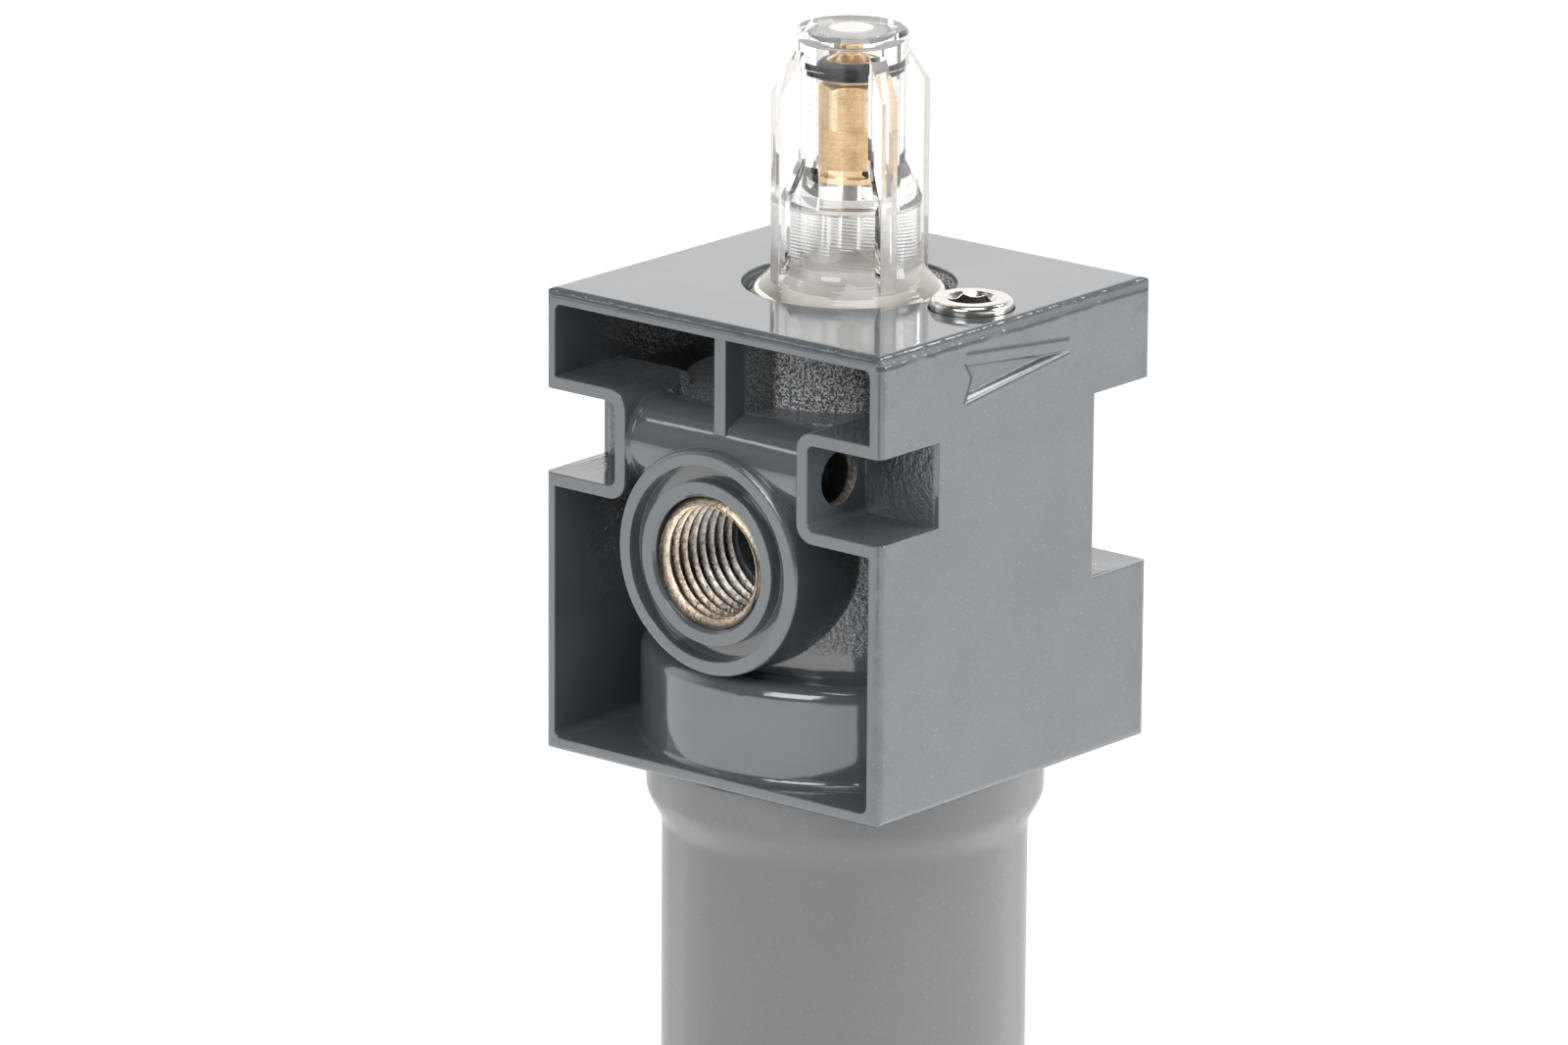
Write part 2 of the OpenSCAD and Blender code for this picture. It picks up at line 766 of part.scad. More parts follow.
// One grip fin, from the skirt to the top disc
module grip_fin() {
    rotate([90, 0, 0])
        linear_extrude(fin_t, center = true)
            polygon([
                [chamber_r + oilway_wall, 0],
                [fin_r, 0],
                [fin_r, dome_h - fin_drop],
                [disc_r, dome_h - fin_top_drop],
                [neck_r - oilway_wall, dome_h - fin_top_drop],
                [neck_r - oilway_wall, glass_h],
                [chamber_r + oilway_wall, glass_h]
            ]);
}

module sight_dome() {
    color(clear_plastic)
        at_head()
            difference() {
                union() {
                    rotate_extrude()
                        dome_outline();
                    for (i = [0:3])
                        rotate(fin_angle + i * 90)
                            grip_fin();
                }
                translate([0, 0, stem_z - cut])
                    cylinder(chamber_h - stem_z + cut, r = chamber_r);
                translate([0, 0, chamber_h - cut])
                    cylinder(dome_h - disc_web - chamber_h + cut, r = adjuster_bore_r);
                translate([0, 0, dome_h - disc_web - cut])
                    cylinder(disc_web + 2 * cut, r = driver_r);
                translate([0, 0, stem_z - cut])
                    difference() {
                        cylinder(feed_ring_d + cut, r = feed_ring_r + feed_ring_w);
                        cylinder(feed_ring_d + cut, r = feed_ring_r);
                    }
                rotate(fin_angle) {
                    translate([fin_feed_r, 0, stem_z])
                        cylinder(feed_hole_z - stem_z, r = oilway_r);
                    cylinder_x(0, fin_feed_r, feed_hole_z, oilway_r, oilway_r);
                }
            }
}

module dome_seal() {
    color(black_rubber)
        at_head()
            translate([0, 0, (dome_seat_z - flange_t) / 2])
                o_ring(stem_bore_r + dome_seal_r + seat_gap, dome_seal_r, squeeze);
}

// Drip adjuster

module needle_bushing() {
    color(brass)
        at_head()
            difference() {
                union() {
                    translate([0, 0, hex_z - hex_h])
                        intersection() {
                            rotate(hex_angle)
                                cylinder(hex_h, r = hex_af / sqrt(3), $fn = 6);
                            cylinder(hex_h, hex_af / 2 + hex_h, hex_af / 2);
                        }
                    translate([0, 0, bushing_z])
                        cylinder(hex_z - hex_h - bushing_z, r = barrel_r);
                    translate([0, 0, bushing_z])
                        cylinder(collar_h, r = adjuster_bore_r - seat_gap);
                }
                translate([0, 0, feed_hole_z + 2 * orifice_r])
                    cylinder(hex_z, r = screw_r + thread_gap);
                translate([0, 0, bushing_z + orifice_l])
                    cylinder(collar_h + cut, r = needle_chamber_r);
                translate([0, 0, bushing_z - cut])
                    cylinder(orifice_l + 2 * cut, r = orifice_r);
                translate([0, 0, feed_hole_z - oilway_r])
                    difference() {
                        cylinder(2 * oilway_r, r = adjuster_bore_r + cut);
                        cylinder(2 * oilway_r, r = barrel_r);
                    }
                rotate(fin_angle)
                    cylinder_x(-adjuster_bore_r, adjuster_bore_r, feed_hole_z,
                        oilway_r, oilway_r);
            }
}

module needle_screw() {
    color(brass)
        at_head()
            difference() {
                union() {
                    translate([0, 0, gland_top_z + tip_cone_h])
                        cylinder(tip_l, r = tip_r);
                    translate([0, 0, gland_top_z])
                        cylinder(tip_cone_h, screw_collar_r, tip_r);
                    translate([0, 0, screw_collar_z])
                        cylinder(gland_top_z - screw_collar_z, r = gland_r - seat_gap);
                    translate([0, 0, screw_collar_z])
                        cylinder(screw_collar_t, r = screw_collar_r);
                    translate([0, 0, feed_hole_z + 4 * orifice_r])
                        cylinder(screw_collar_z - feed_hole_z - 4 * orifice_r, r = screw_r);
                    translate([0, 0, feed_hole_z])
                        cylinder(4 * orifice_r, r = needle_r);
                    translate([0, 0, bushing_z + orifice_l / 2])
                        cylinder(feed_hole_z - bushing_z - orifice_l / 2,
                            orifice_r - 2 * thread_gap, needle_r - thread_gap);
                }
                translate([0, 0, tip_z - slot_d / 2 + cut / 2])
                    cube([2 * tip_r + cut, slot_w, slot_d + cut], center = true);
            }
}

module needle_seal() {
    color(black_rubber)
        at_head()
            translate([0, 0, (gland_top_z + gland_z) / 2])
                o_ring((adjuster_bore_r + gland_r) / 2, needle_seal_r);
}

module drip_nozzle() {
    color(pale_plastic)
        at_head()
            difference() {
                union() {
                    translate([0, 0, chamber_h])
                        cylinder(nozzle_t, r = adjuster_bore_r - seat_gap);
                    translate([0, 0, chamber_h - drip_l])
                        round_foot(drip_r, drip_l + nozzle_t / 2, (drip_r - drip_bore_r) / 2);
                }
                translate([0, 0, chamber_h - drip_l - cut])
                    cylinder(drip_l + nozzle_t + 2 * cut, r = drip_bore_r);
            }
}

// Filler plug

module filler_plug() {
    color(bright_steel)
        at_head()
            translate([0, -plug_y, 0])
                difference() {
                    union() {
                        translate([0, 0, plug_h])
                            mirror([0, 0, 1])
                                round_foot(plug_flange_r, plug_h + plug_sink, plug_round);
                        translate([0, 0, -plug_sink - plug_l])
                            cylinder(plug_l + cut, r = plug_r);
                    }
                    translate([0, 0, plug_h - key_d])
                        cylinder(key_d + cut, r = key_af / sqrt(3), $fn = 6);
                    translate([0, 0, plug_h - key_af / 8])
                        cylinder(key_af / 8 + cut, key_af / 2, key_af * 5 / 8 + cut);
                }
}

module filler_plug_seal() {
    color(black_rubber)
        at_head()
            translate([0, -plug_y, plug_seat_z])
                difference() {
                    cylinder(plug_seal_t, r = plug_flange_r);
                    translate([0, 0, -cut])
                        cylinder(plug_seal_t + 2 * cut, r = plug_bore_r);
                }
}

// Air passage insert

// Round body of the insert with its flange, crossed by the air passage
module insert_shell() {
    difference() {
        union() {
            translate([0, 0, roof_z])
                cylinder(insert_top_z - roof_z, r = insert_r);
            translate([0, 0, roof_z - insert_flange_t])
                cylinder(insert_flange_t, r = insert_flange_r);
        }
        cylinder_x(-insert_r - cut, damper_x + cut, port_z, throat_r, throat_r);
        cylinder_x(damper_x, insert_r + cut, port_z, throat_r + 2 * damper_lap,
            throat_r + 2 * damper_lap);
    }
}

// Venturi tube and the web that holds it in the passage
module venturi_tube() {
    translate([0, 0, port_z])
        cube([2 * damper_x, web_t, 2 * (throat_r + damper_lap)], center = true);
    cylinder_x(-venturi_half_l, venturi_half_l, port_z, venturi_r, venturi_r);
}

module seal_groove(z) {
    translate([0, 0, z - insert_seal_r - seat_gap])
        difference() {
            cylinder(2 * insert_seal_r + 2 * seat_gap, r = insert_r + cut);
            cylinder(2 * insert_seal_r + 2 * seat_gap, r = insert_groove_r);
        }
}

module venturi_insert() {
    color(pale_plastic)
        at_head()
            difference() {
                union() {
                    insert_shell();
                    venturi_tube();
                }
                cylinder_x(-venturi_half_l - seat_gap, 0, port_z, venturi_mouth_r, venturi_bore_r);
                cylinder_x(0, venturi_half_l + seat_gap, port_z, venturi_bore_r, venturi_mouth_r);
                translate([0, 0, port_z])
                    cylinder(insert_rise + cut, r = web_t / 4);
                translate([0, 0, insert_top_z - drain_r])
                    cylinder(drain_r + seat_gap, web_t / 4, drain_r + web_t / 4);
                translate([0, oilway_y, roof_z - cut])
                    cylinder(insert_top_z - roof_z + 2 * cut, r = oilway_r);
                translate([0, 0, insert_top_z - feed_ring_d])
                    difference() {
                        cylinder(feed_ring_d + cut, r = head_oilway_y + oilway_r);
                        cylinder(feed_ring_d + cut, r = oilway_y - oilway_r);
                    }
                translate([0, oilway_y, feed_top_z - cut])
                    cylinder(roof_z - feed_top_z + cut, r = feed_spigot_r + seat_gap);
                translate([0, oilway_y, roof_z])
                    cube([2 * feed_ball_r, oilway_r, 2 * oilway_r], center = true);
                seal_groove(upper_seal_z);
                seal_groove(lower_seal_z);
            }
}

module insert_seal(z) {
    color(black_rubber)
        at_head()
            translate([0, 0, z])
                o_ring(insert_bore_r - insert_seal_r, insert_seal_r);
}

module insert_upper_seal() {
    insert_seal(upper_seal_z);
}

module insert_lower_seal() {
    insert_seal(lower_seal_z);
}

// Flexible ring that opens the main air passage when the flow is high
module damper_flap() {
    color(black_rubber)
        at_head()
            difference() {
                cylinder_x(damper_x, damper_x + damper_t, port_z, throat_r + damper_lap,
                    throat_r + damper_lap);
                cylinder_x(damper_x - cut, damper_x + damper_t + cut, port_z,
                    venturi_r + seat_gap, venturi_r + seat_gap);
            }
}

module damper_clip() {
    color(bright_steel)
        at_head()
            difference() {
                cylinder_x(damper_x + damper_t, damper_x + damper_t + clip_t, port_z,
                    clip_r, clip_r);
                cylinder_x(damper_x, damper_x + damper_t + clip_t + cut, port_z,
                    venturi_r + seat_gap, venturi_r + seat_gap);
            }
}

// Bowl pressure valve

module pressure_valve_seat() {
    color(brass)
        at_head()
            translate([-valve_x, 0, roof_z])
                difference() {
                    cylinder(valve_seat_z - roof_z, r = valve_r - seat_gap);
                    translate([0, 0, -cut])
                        cylinder(valve_seat_z - roof_z + 2 * cut, r = bleed_r);
                    translate([0, 0, valve_seat_z - roof_z])
                        cube([2 * valve_r + cut, bleed_r, bleed_r], center = true);
                }
}

module pressure_valve_ball() {
    color(bright_steel)
        at_head()
            translate([-valve_x, 0, valve_ball_z])
                sphere(valve_ball_r);
}

// Oil pickup

module feed_valve_body() {
    color(pale_plastic)
        at_head()
            translate([0, oilway_y, 0])
                difference() {
                    union() {
                        translate([0, 0, feed_top_z - cut])
                            cylinder(feed_stop_z - feed_top_z + cut, r = feed_spigot_r);
                        translate([0, 0, nipple_z])
                            cylinder(feed_barrel_l, r = feed_barrel_r);
                        translate([0, 0, nipple_z - tube_grip])
                            cylinder(tube_grip + cut, r = nipple_r);
                    }
                    translate([0, 0, feed_seat_z])
                        cylinder(feed_stop_z - feed_seat_z + cut, r = feed_chamber_r);
                    translate([0, 0, nipple_z - tube_grip - cut])
                        cylinder(feed_seat_z - nipple_z + tube_grip + 2 * cut, r = feed_hole_r);
                }
}

module feed_valve_ball() {
    color(bright_steel)
        at_head()
            translate([0, oilway_y, feed_ball_z])
                sphere(feed_ball_r);
}

module pickup_tube() {
    tube_end = strainer_z + strainer_l - tube_grip;
    color(pale_plastic)
        at_head()
            translate([0, oilway_y, tube_end])
                difference() {
                    cylinder(nipple_z - tube_end, r = tube_r);
                    translate([0, 0, -cut])
                        cylinder(nipple_z - tube_end + 2 * cut, r = tube_bore_r);
                }
}

module pickup_strainer() {
    color(brass)
        at_head()
            translate([0, oilway_y, strainer_z])
                difference() {
                    round_foot(strainer_r, strainer_l, strainer_wall);
                    translate([0, 0, strainer_wall])
                        cylinder(strainer_l - tube_grip - strainer_wall,
                            r = strainer_r - strainer_wall);
                    translate([0, 0, strainer_l - tube_grip - seat_gap])
                        cylinder(tube_grip + cut, r = tube_r + seat_gap);
                }
}

// Bowl and guard

module bowl() {
    bowl_top = head_top + bowl_flange_z;
    color(clear_plastic)
        difference() {
            union() {
                translate([0, 0, bowl_floor_z])
                    round_foot(bowl_r, bowl_top - bowl_floor_z, bowl_round);
                translate([0, 0, bowl_top - bowl_flange_t])
                    cylinder(bowl_flange_t, r = bowl_flange_r);
            }
            translate([0, 0, bowl_floor_z + bowl_wall])
                round_foot(bowl_bore_r, bowl_top - bowl_floor_z, bowl_round - bowl_wall);
        }
}

module bowl_seal() {
    color(black_rubber)
        at_head()
            translate([0, 0, (roof_z + bowl_flange_z) / 2])
                o_ring(bowl_flange_r - bowl_seal_r - seat_gap, bowl_seal_r, squeeze);
}

// Outline of the guard outside its foot: side, curve, collar and neck
function curve_points(z1, z2) = [
    for (i = [0:curve_steps])
        let (t = i / curve_steps)
            [guard_r + (collar_r - guard_r) * (3 * t * t - 2 * t * t * t), z1 + (z2 - z1) * t]
];

module guard_outline() {
    collar_top = guard_l - collar_gap;
    collar_low = collar_top - collar_l;
    neck_top = head_top + guard_top_z;
    polygon(concat(
        [[0, 2 * foot_r], [guard_r, 2 * foot_r]],
        curve_points(collar_low - collar_curve, collar_low),
        [
            [collar_r, collar_top],
            [guard_neck_r, collar_top],
            [guard_neck_r, neck_top],
            [0, neck_top]
        ]));
}

// Slot with round ends through the guard's wall
module sight_slot() {
    translate([guard_bore_r - cut, 0, window_z + window_w / 2])
        rotate([90, 0, 90])
            linear_extrude(guard_wall + 2 * cut) {
                translate([-window_w / 2, 0])
                    square([window_w, window_l - window_w]);
                circle(window_w / 2);
                translate([0, window_l - window_w])
                    circle(window_w / 2);
            }
}

module bowl_guard() {
    color(grey_paint)
        difference() {
            rotate_extrude() {
                foot_section(guard_r, 3 * foot_r, foot_r);
                guard_outline();
            }
            translate([0, 0, floor_t])
                round_foot(guard_bore_r, head_top, foot_r - guard_wall);
            for (side = [0, 180])
                rotate(side)
                    sight_slot();
        }
}

head_casting();
sight_dome();
dome_seal();
needle_bushing();
needle_screw();
needle_seal();
drip_nozzle();
filler_plug();
filler_plug_seal();
venturi_insert();
insert_upper_seal();
insert_lower_seal();
damper_flap();
damper_clip();
pressure_valve_seat();
pressure_valve_ball();
feed_valve_body();
feed_valve_ball();
pickup_tube();
pickup_strainer();
bowl();
bowl_seal();
bowl_guard();
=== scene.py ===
# Air line lubricator: paint, clear dome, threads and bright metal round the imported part.
import bpy
import json
import math
from mathutils import Matrix, Vector

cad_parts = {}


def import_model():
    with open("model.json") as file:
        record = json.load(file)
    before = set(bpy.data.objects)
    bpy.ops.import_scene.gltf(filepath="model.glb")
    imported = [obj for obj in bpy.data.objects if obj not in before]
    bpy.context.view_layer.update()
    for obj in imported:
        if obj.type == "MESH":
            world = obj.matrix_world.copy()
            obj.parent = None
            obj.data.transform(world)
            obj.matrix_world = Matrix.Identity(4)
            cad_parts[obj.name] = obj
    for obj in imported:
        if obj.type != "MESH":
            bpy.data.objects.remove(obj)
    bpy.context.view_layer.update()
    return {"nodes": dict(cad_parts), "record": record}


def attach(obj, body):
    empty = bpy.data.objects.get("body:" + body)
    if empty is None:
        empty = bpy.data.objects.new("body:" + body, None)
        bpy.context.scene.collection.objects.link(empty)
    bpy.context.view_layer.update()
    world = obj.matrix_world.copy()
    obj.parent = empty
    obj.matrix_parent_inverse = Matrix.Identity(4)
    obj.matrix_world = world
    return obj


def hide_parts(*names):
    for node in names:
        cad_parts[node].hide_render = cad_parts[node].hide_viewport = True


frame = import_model()
bpy.ops.object.select_all(action="DESELECT")
nodes = frame["nodes"]

MM = 0.001
TAU = 2 * math.pi
SAME_POINT = 1e-6         # points closer than this are merged, in metres

# Head casting: heights are taken from its top face, and everything else from its middle
HEAD_TOP = 128.7 * MM     # the top face above the foot
HALF = 21 * MM            # half the head's width
HEAD_H = 46.7 * MM
PORT_DROP = -23.9 * MM    # axis of the ports
PORT_Z = HEAD_TOP + PORT_DROP
BAR_X = 16.1 * MM         # axes of the clamp holes
BAR_DROP = -14.25 * MM
CLAMP_R = 2.65 * MM
POCKET_Y = 12 * MM        # walls of the corner pockets, in which the clamp holes end
BOSS_R = 12.1 * MM        # outside of the boss round the dome's hole, and its foot
BOSS_LOW = -10.2 * MM
CORE_R = 16 * MM          # outside of the core below the boss
DOME_BORE_R = 10.6 * MM   # turned bore under the dome
DOME_BORE_TOP = -1.6 * MM
DOME_BORE_LOW = -30 * MM

# Flow arrow in the front face: its half length, the depth of its notch, and the heights of its
# tail's upper corner, notch and lower corner and of its tip
ARROW_HALF = 7.95 * MM
ARROW_CUT = 1 * MM
ARROW_TOP = -3.15 * MM
ARROW_NOTCH = -4.59 * MM
ARROW_LOW = -6.75 * MM
ARROW_TIP = -4.8 * MM
ARROW_FLOOR = 0.9 * MM    # a little deeper than the floor of its recess

# Sight dome and the drip adjuster in it
STEM_TOP = -1.35 * MM     # top of the threaded stem
SKIRT_TOP = 2.4 * MM      # top of the flared skirt
CHAMBER_R = 5 * MM        # sight chamber, and the adjuster's bore above it
CHAMBER_H = 8 * MM
ADJUSTER_R = 3.4 * MM
GLASS_R = 5.8 * MM        # outside of the wall between the fins
SHOULDER_Z = 8.9 * MM     # step in the wall, outside the top of the chamber
WEB_Z = 23.9 * MM         # underside of the top disc over the adjuster's bore
FIN_R = 8.2 * MM          # the fins' outer faces, and the slopes from them up to the disc
FIN_TOP = 19.5 * MM
FIN_SLOPE = 1.509
SEAL_Z = 21.475 * MM      # middle of the adjuster's seal
HEX_LOW = 15.78 * MM      # the bushing's hexagon and the top of its collar
HEX_HIGH = 20.3 * MM
COLLAR_HIGH = 11.85 * MM

# Port threads, in millimetres: quarter-inch pipe thread
THREAD_PITCH = 1.337
THREAD_CREST = 5.72       # radius on the crests, and in the grooves between them
THREAD_ROOT = 6.52
THREAD_TURNS = 9          # wound before the ends are cut square
THREAD_START = 10.55      # inner end, out from the middle of the head
THREAD_LENGTH = 10.55
THREAD_SKIN = 0.05        # thickness of the wound sheet


# Shader maths

class Sum:
    """A node's output, on which sums are written as on a number."""

    def __init__(self, owner, socket):
        self.owner = owner
        self.socket = socket

    def __add__(self, other):
        return self.owner.math("ADD", self, other)

    def __sub__(self, other):
        return self.owner.math("SUBTRACT", self, other)

    def __rsub__(self, other):
        return self.owner.math("SUBTRACT", other, self)

    def __mul__(self, other):
        return self.owner.math("MULTIPLY", self, other)

    def __truediv__(self, other):
        return self.owner.math("DIVIDE", self, other)

    def __pow__(self, other):
        return self.owner.math("POWER", self, other)

    def __gt__(self, other):
        return self.owner.math("GREATER_THAN", self, other)

    def __lt__(self, other):
        return self.owner.math("LESS_THAN", self, other)

    def __neg__(self):
        return self.owner.math("MULTIPLY", self, -1.0)

    def __abs__(self):
        return self.owner.math("ABSOLUTE", self)

    __radd__ = __add__
    __rmul__ = __mul__


class Nodes:
    """The nodes of one tree, and a place to measure from."""

    def __init__(self, tree, place):
        self.tree = tree
        self.place = self.node("ShaderNodeTexCoord", out=place)

    def node(self, kind, settings=None, sockets=None, out=0):
        """A node: its settings are made first, then the values or links of its sockets."""
        made = self.tree.nodes.new(kind)
        for name, value in (settings or {}).items():
            setattr(made, name, value)
        for name, value in (sockets or {}).items():
            if isinstance(value, Sum):
                self.tree.links.new(value.socket, made.inputs[name])
            else:
                made.inputs[name].default_value = value
        return Sum(self, made.outputs[out])

    def math(self, operation, a, b=0.0):
        return self.node("ShaderNodeMath", {"operation": operation}, {0: a, 1: b})

    def smallest(self, a, b):
        return self.math("MINIMUM", a, b)

    def largest(self, a, b):
        return self.math("MAXIMUM", a, b)

    def length(self, a, b):
        """How far out a place lies, from its distances along two axes."""
        return (a * a + b * b) ** 0.5

    def between(self, factor, a, b):
        """A number that is a where the factor is 0 and b where it is 1."""
        return a + (b - a) * factor

    def band(self, value, low, high):
        """0 up to low, 1 from high, and smooth between them; low may be the larger one."""
        return self.node("ShaderNodeMapRange", {"interpolation_type": "SMOOTHSTEP"},
                         {0: value, 1: low, 2: high, 3: 0.0, 4: 1.0})

    def axes(self):
        """The three coordinates of the place."""
        split = self.node("ShaderNodeSeparateXYZ", sockets={0: self.place})
        return [Sum(self, output) for output in split.socket.node.outputs]

    def spots(self, scale, detail=2.0, rough=0.5, place=None):
        """Noise of a size given as turns per metre, from 0 to 1."""
        return self.node("ShaderNodeTexNoise", sockets={
            "Vector": place or self.place, "Scale": scale, "Detail": detail, "Roughness": rough})

    def stretch(self, x, y, z):
        """The place scaled along each axis, for drawn out noise."""
        return self.node("ShaderNodeMapping", sockets={"Vector": self.place, "Scale": (x, y, z)})

    def blend(self, factor, a, b):
        """A colour that is a where the factor is 0 and b where it is 1."""
        return self.node("ShaderNodeMix", {"data_type": "RGBA"}, {0: factor, 6: a, 7: b}, out=2)

    def ray(self, name):
        """1 for rays of one kind, or how many surfaces a ray has met."""
        return self.node("ShaderNodeLightPath", out=name)


class Finish(Nodes):
    """One material: a Principled shader and the nodes that feed it."""

    def __init__(self, name, **values):
        self.material = bpy.data.materials.new(name)
        self.material.use_nodes = True
        super().__init__(self.material.node_tree, "Object")
        self.shader = self.tree.nodes["Principled BSDF"]
        for socket, value in values.items():
            self.shader.inputs[socket.replace("_", " ")].default_value = value

    def feed(self, socket, value):
        self.tree.links.new(value.socket, self.shader.inputs[socket])

    def soft_edges(self, radius):
        """Edges broken by a small radius, as paint and casting leave them."""
        return self.node("ShaderNodeBevel", {"samples": 6}, {"Radius": radius})

    def bump(self, height, normal=None, distance=1.0 * MM, strength=1.0):
        sockets = {"Height": height, "Distance": distance, "Strength": strength}
        if normal is not None:
            sockets["Normal"] = normal
        return self.node("ShaderNodeBump", sockets=sockets)

    def whole(self):
        return Sum(self, self.shader.outputs[0])

    def solid(self, color, rough):
        """A second shader of one gloss, to be mixed with the first."""
        return self.node("ShaderNodeBsdfPrincipled",
                         sockets={"Base Color": color, "Roughness": rough})

    def mix(self, factor, a, b):
        """Shader a where the factor is 0 and shader b where it is 1."""
        return self.node("ShaderNodeMixShader", sockets={0: factor, 1: a, 2: b})

    def show(self, shader):
        self.tree.links.new(shader.socket, self.tree.nodes["Material Output"].inputs[0])

    def let_light_in(self, shader, tint):
        """Lets shadow rays, and rays that have been through many surfaces, go straight on."""
        open_way = self.node("ShaderNodeBsdfTransparent", sockets={"Color": tint})
        many = self.ray("Ray Depth") > MANY_SURFACES
        self.show(self.mix(self.largest(self.ray("Is Shadow Ray"), many), shader, open_way))


# Materials

MANY_SURFACES = 3.5       # light that has met more of them goes straight through clear plastic

PAINT = (0.094, 0.109, 0.121, 1)
PAINT_DARK = (0.083, 0.097, 0.108, 1)
# Thin paint, and painted shade along the top edges and round the arrow
PAINT_THIN_AND_SHADE = (0.066, 0.077, 0.087, 1)
PAINT_DUST = (0.40, 0.42, 0.43, 1)
PAINT_CHIP = (0.62, 0.64, 0.66, 1)
# Painted highlights: glints on the cast flanks
PAINTED_CAST_GLINT = (0.78, 0.80, 0.81, 1)
BARE_METAL = (0.60, 0.56, 0.50, 1)
BARE_DARK = (0.26, 0.22, 0.18, 1)
# Painted shade deep in the clamp holes
HOLE_SHADE = (0.035, 0.034, 0.033, 1)

GUARD_LIGHT = (0.142, 0.148, 0.152, 1)
GUARD_DARK = (0.131, 0.137, 0.141, 1)
# Painted highlights: fine glints in the guard's paint
PAINTED_GUARD_GLINT = (0.34, 0.35, 0.36, 1)

DOME_TINT = (0.955, 0.945, 0.93, 1)
# Painted shade at the dome's outline
DOME_RIM_SHADE = (0.66, 0.645, 0.62, 1)
BOWL_TINT = (0.95, 0.965, 0.965, 1)
CLOUDY = (0.52, 0.515, 0.505, 1)
# Painted highlight along the fins' edges
FIN_EDGE_HIGHLIGHT = (0.56, 0.535, 0.505, 1)
STEM_LIGHT = (0.74, 0.72, 0.69, 1)
STEM_DARK = (0.64, 0.62, 0.59, 1)
# Painted shade on the wall's step and under the top disc
WEB_SHADE_LIGHT = (0.16, 0.16, 0.165, 1)
WEB_SHADE_DARK = (0.12, 0.12, 0.125, 1)

BRASS_LIGHT = (0.74, 0.51, 0.26, 1)
BRASS_DARK = (0.52, 0.34, 0.15, 1)
# Wear and painted highlight on the hexagon's corners, painted highlight on the collar
BRASS_WORN_AND_HIGHLIGHT = (0.90, 0.76, 0.52, 1)
BRASS_SPECK = (0.16, 0.09, 0.04, 1)
THREAD_MOUTH = (0.70, 0.58, 0.45, 1)
THREAD_DEEP = (0.58, 0.55, 0.51, 1)
THREAD_PIT = (0.16, 0.13, 0.10, 1)
# Painted shade in the thread's grooves
THREAD_VALLEY_SHADE = (0.13, 0.11, 0.09, 1)
NICKEL_LIGHT = (0.66, 0.63, 0.60, 1)
NICKEL_DARK = (0.50, 0.47, 0.44, 1)
STEEL_LIGHT = (0.64, 0.64, 0.65, 1)
STEEL_DARK = (0.50, 0.50, 0.51, 1)
BRONZE = (0.52, 0.36, 0.18, 1)
# Painted shade between the bronze balls
BRONZE_GAP_SHADE = (0.12, 0.08, 0.05, 1)

RUBBER_LIGHT = (0.010, 0.010, 0.011, 1)
RUBBER_DARK = (0.005, 0.005, 0.006, 1)
GREY_LIGHT = (0.30, 0.31, 0.32, 1)
GREY_DARK = (0.25, 0.26, 0.27, 1)
TUBE_LIGHT = (0.78, 0.79, 0.78, 1)
TUBE_DARK = (0.70, 0.71, 0.70, 1)


def thin_paint_and_shade_round_arrow(f, x, y, z, wander):
    """Lines of thin paint and painted shade over, under and behind the flow arrow's recess."""
    fall = (ARROW_TOP - ARROW_TIP) / (2 * ARROW_HALF)
    rise = (ARROW_TIP - ARROW_LOW) / (2 * ARROW_HALF)
    over_z = (ARROW_TOP + ARROW_TIP) / 2 + 1.075 * MM
    under_z = (ARROW_LOW + ARROW_TIP) / 2 - 0.345 * MM
    over = f.band(abs(z - over_z + fall * x + 0.3 * wander), 0.30 * MM, 0.06 * MM)
    under = f.band(abs(z - under_z - rise * x + 0.2 * wander), 0.26 * MM, 0.08 * MM)
    lines = f.largest(over, under * 0.7) * (abs(x) < ARROW_HALF + 0.05 * MM)
    notch = f.smallest((ARROW_TOP - z) * (ARROW_CUT / (ARROW_TOP - ARROW_NOTCH)),
                       (z - ARROW_LOW) * (ARROW_CUT / (ARROW_NOTCH - ARROW_LOW)))
    tail_z = (ARROW_TOP + ARROW_LOW) / 2
    beside = abs(z - tail_z) < ARROW_TOP - tail_z + 0.15 * MM
    behind = x + (ARROW_HALF + 0.2 * MM) - notch
    tail = f.band(abs(behind), 0.22 * MM, 0.06 * MM) * beside
    return f.largest(lines, tail) * (y < ARROW_FLOOR - HALF)


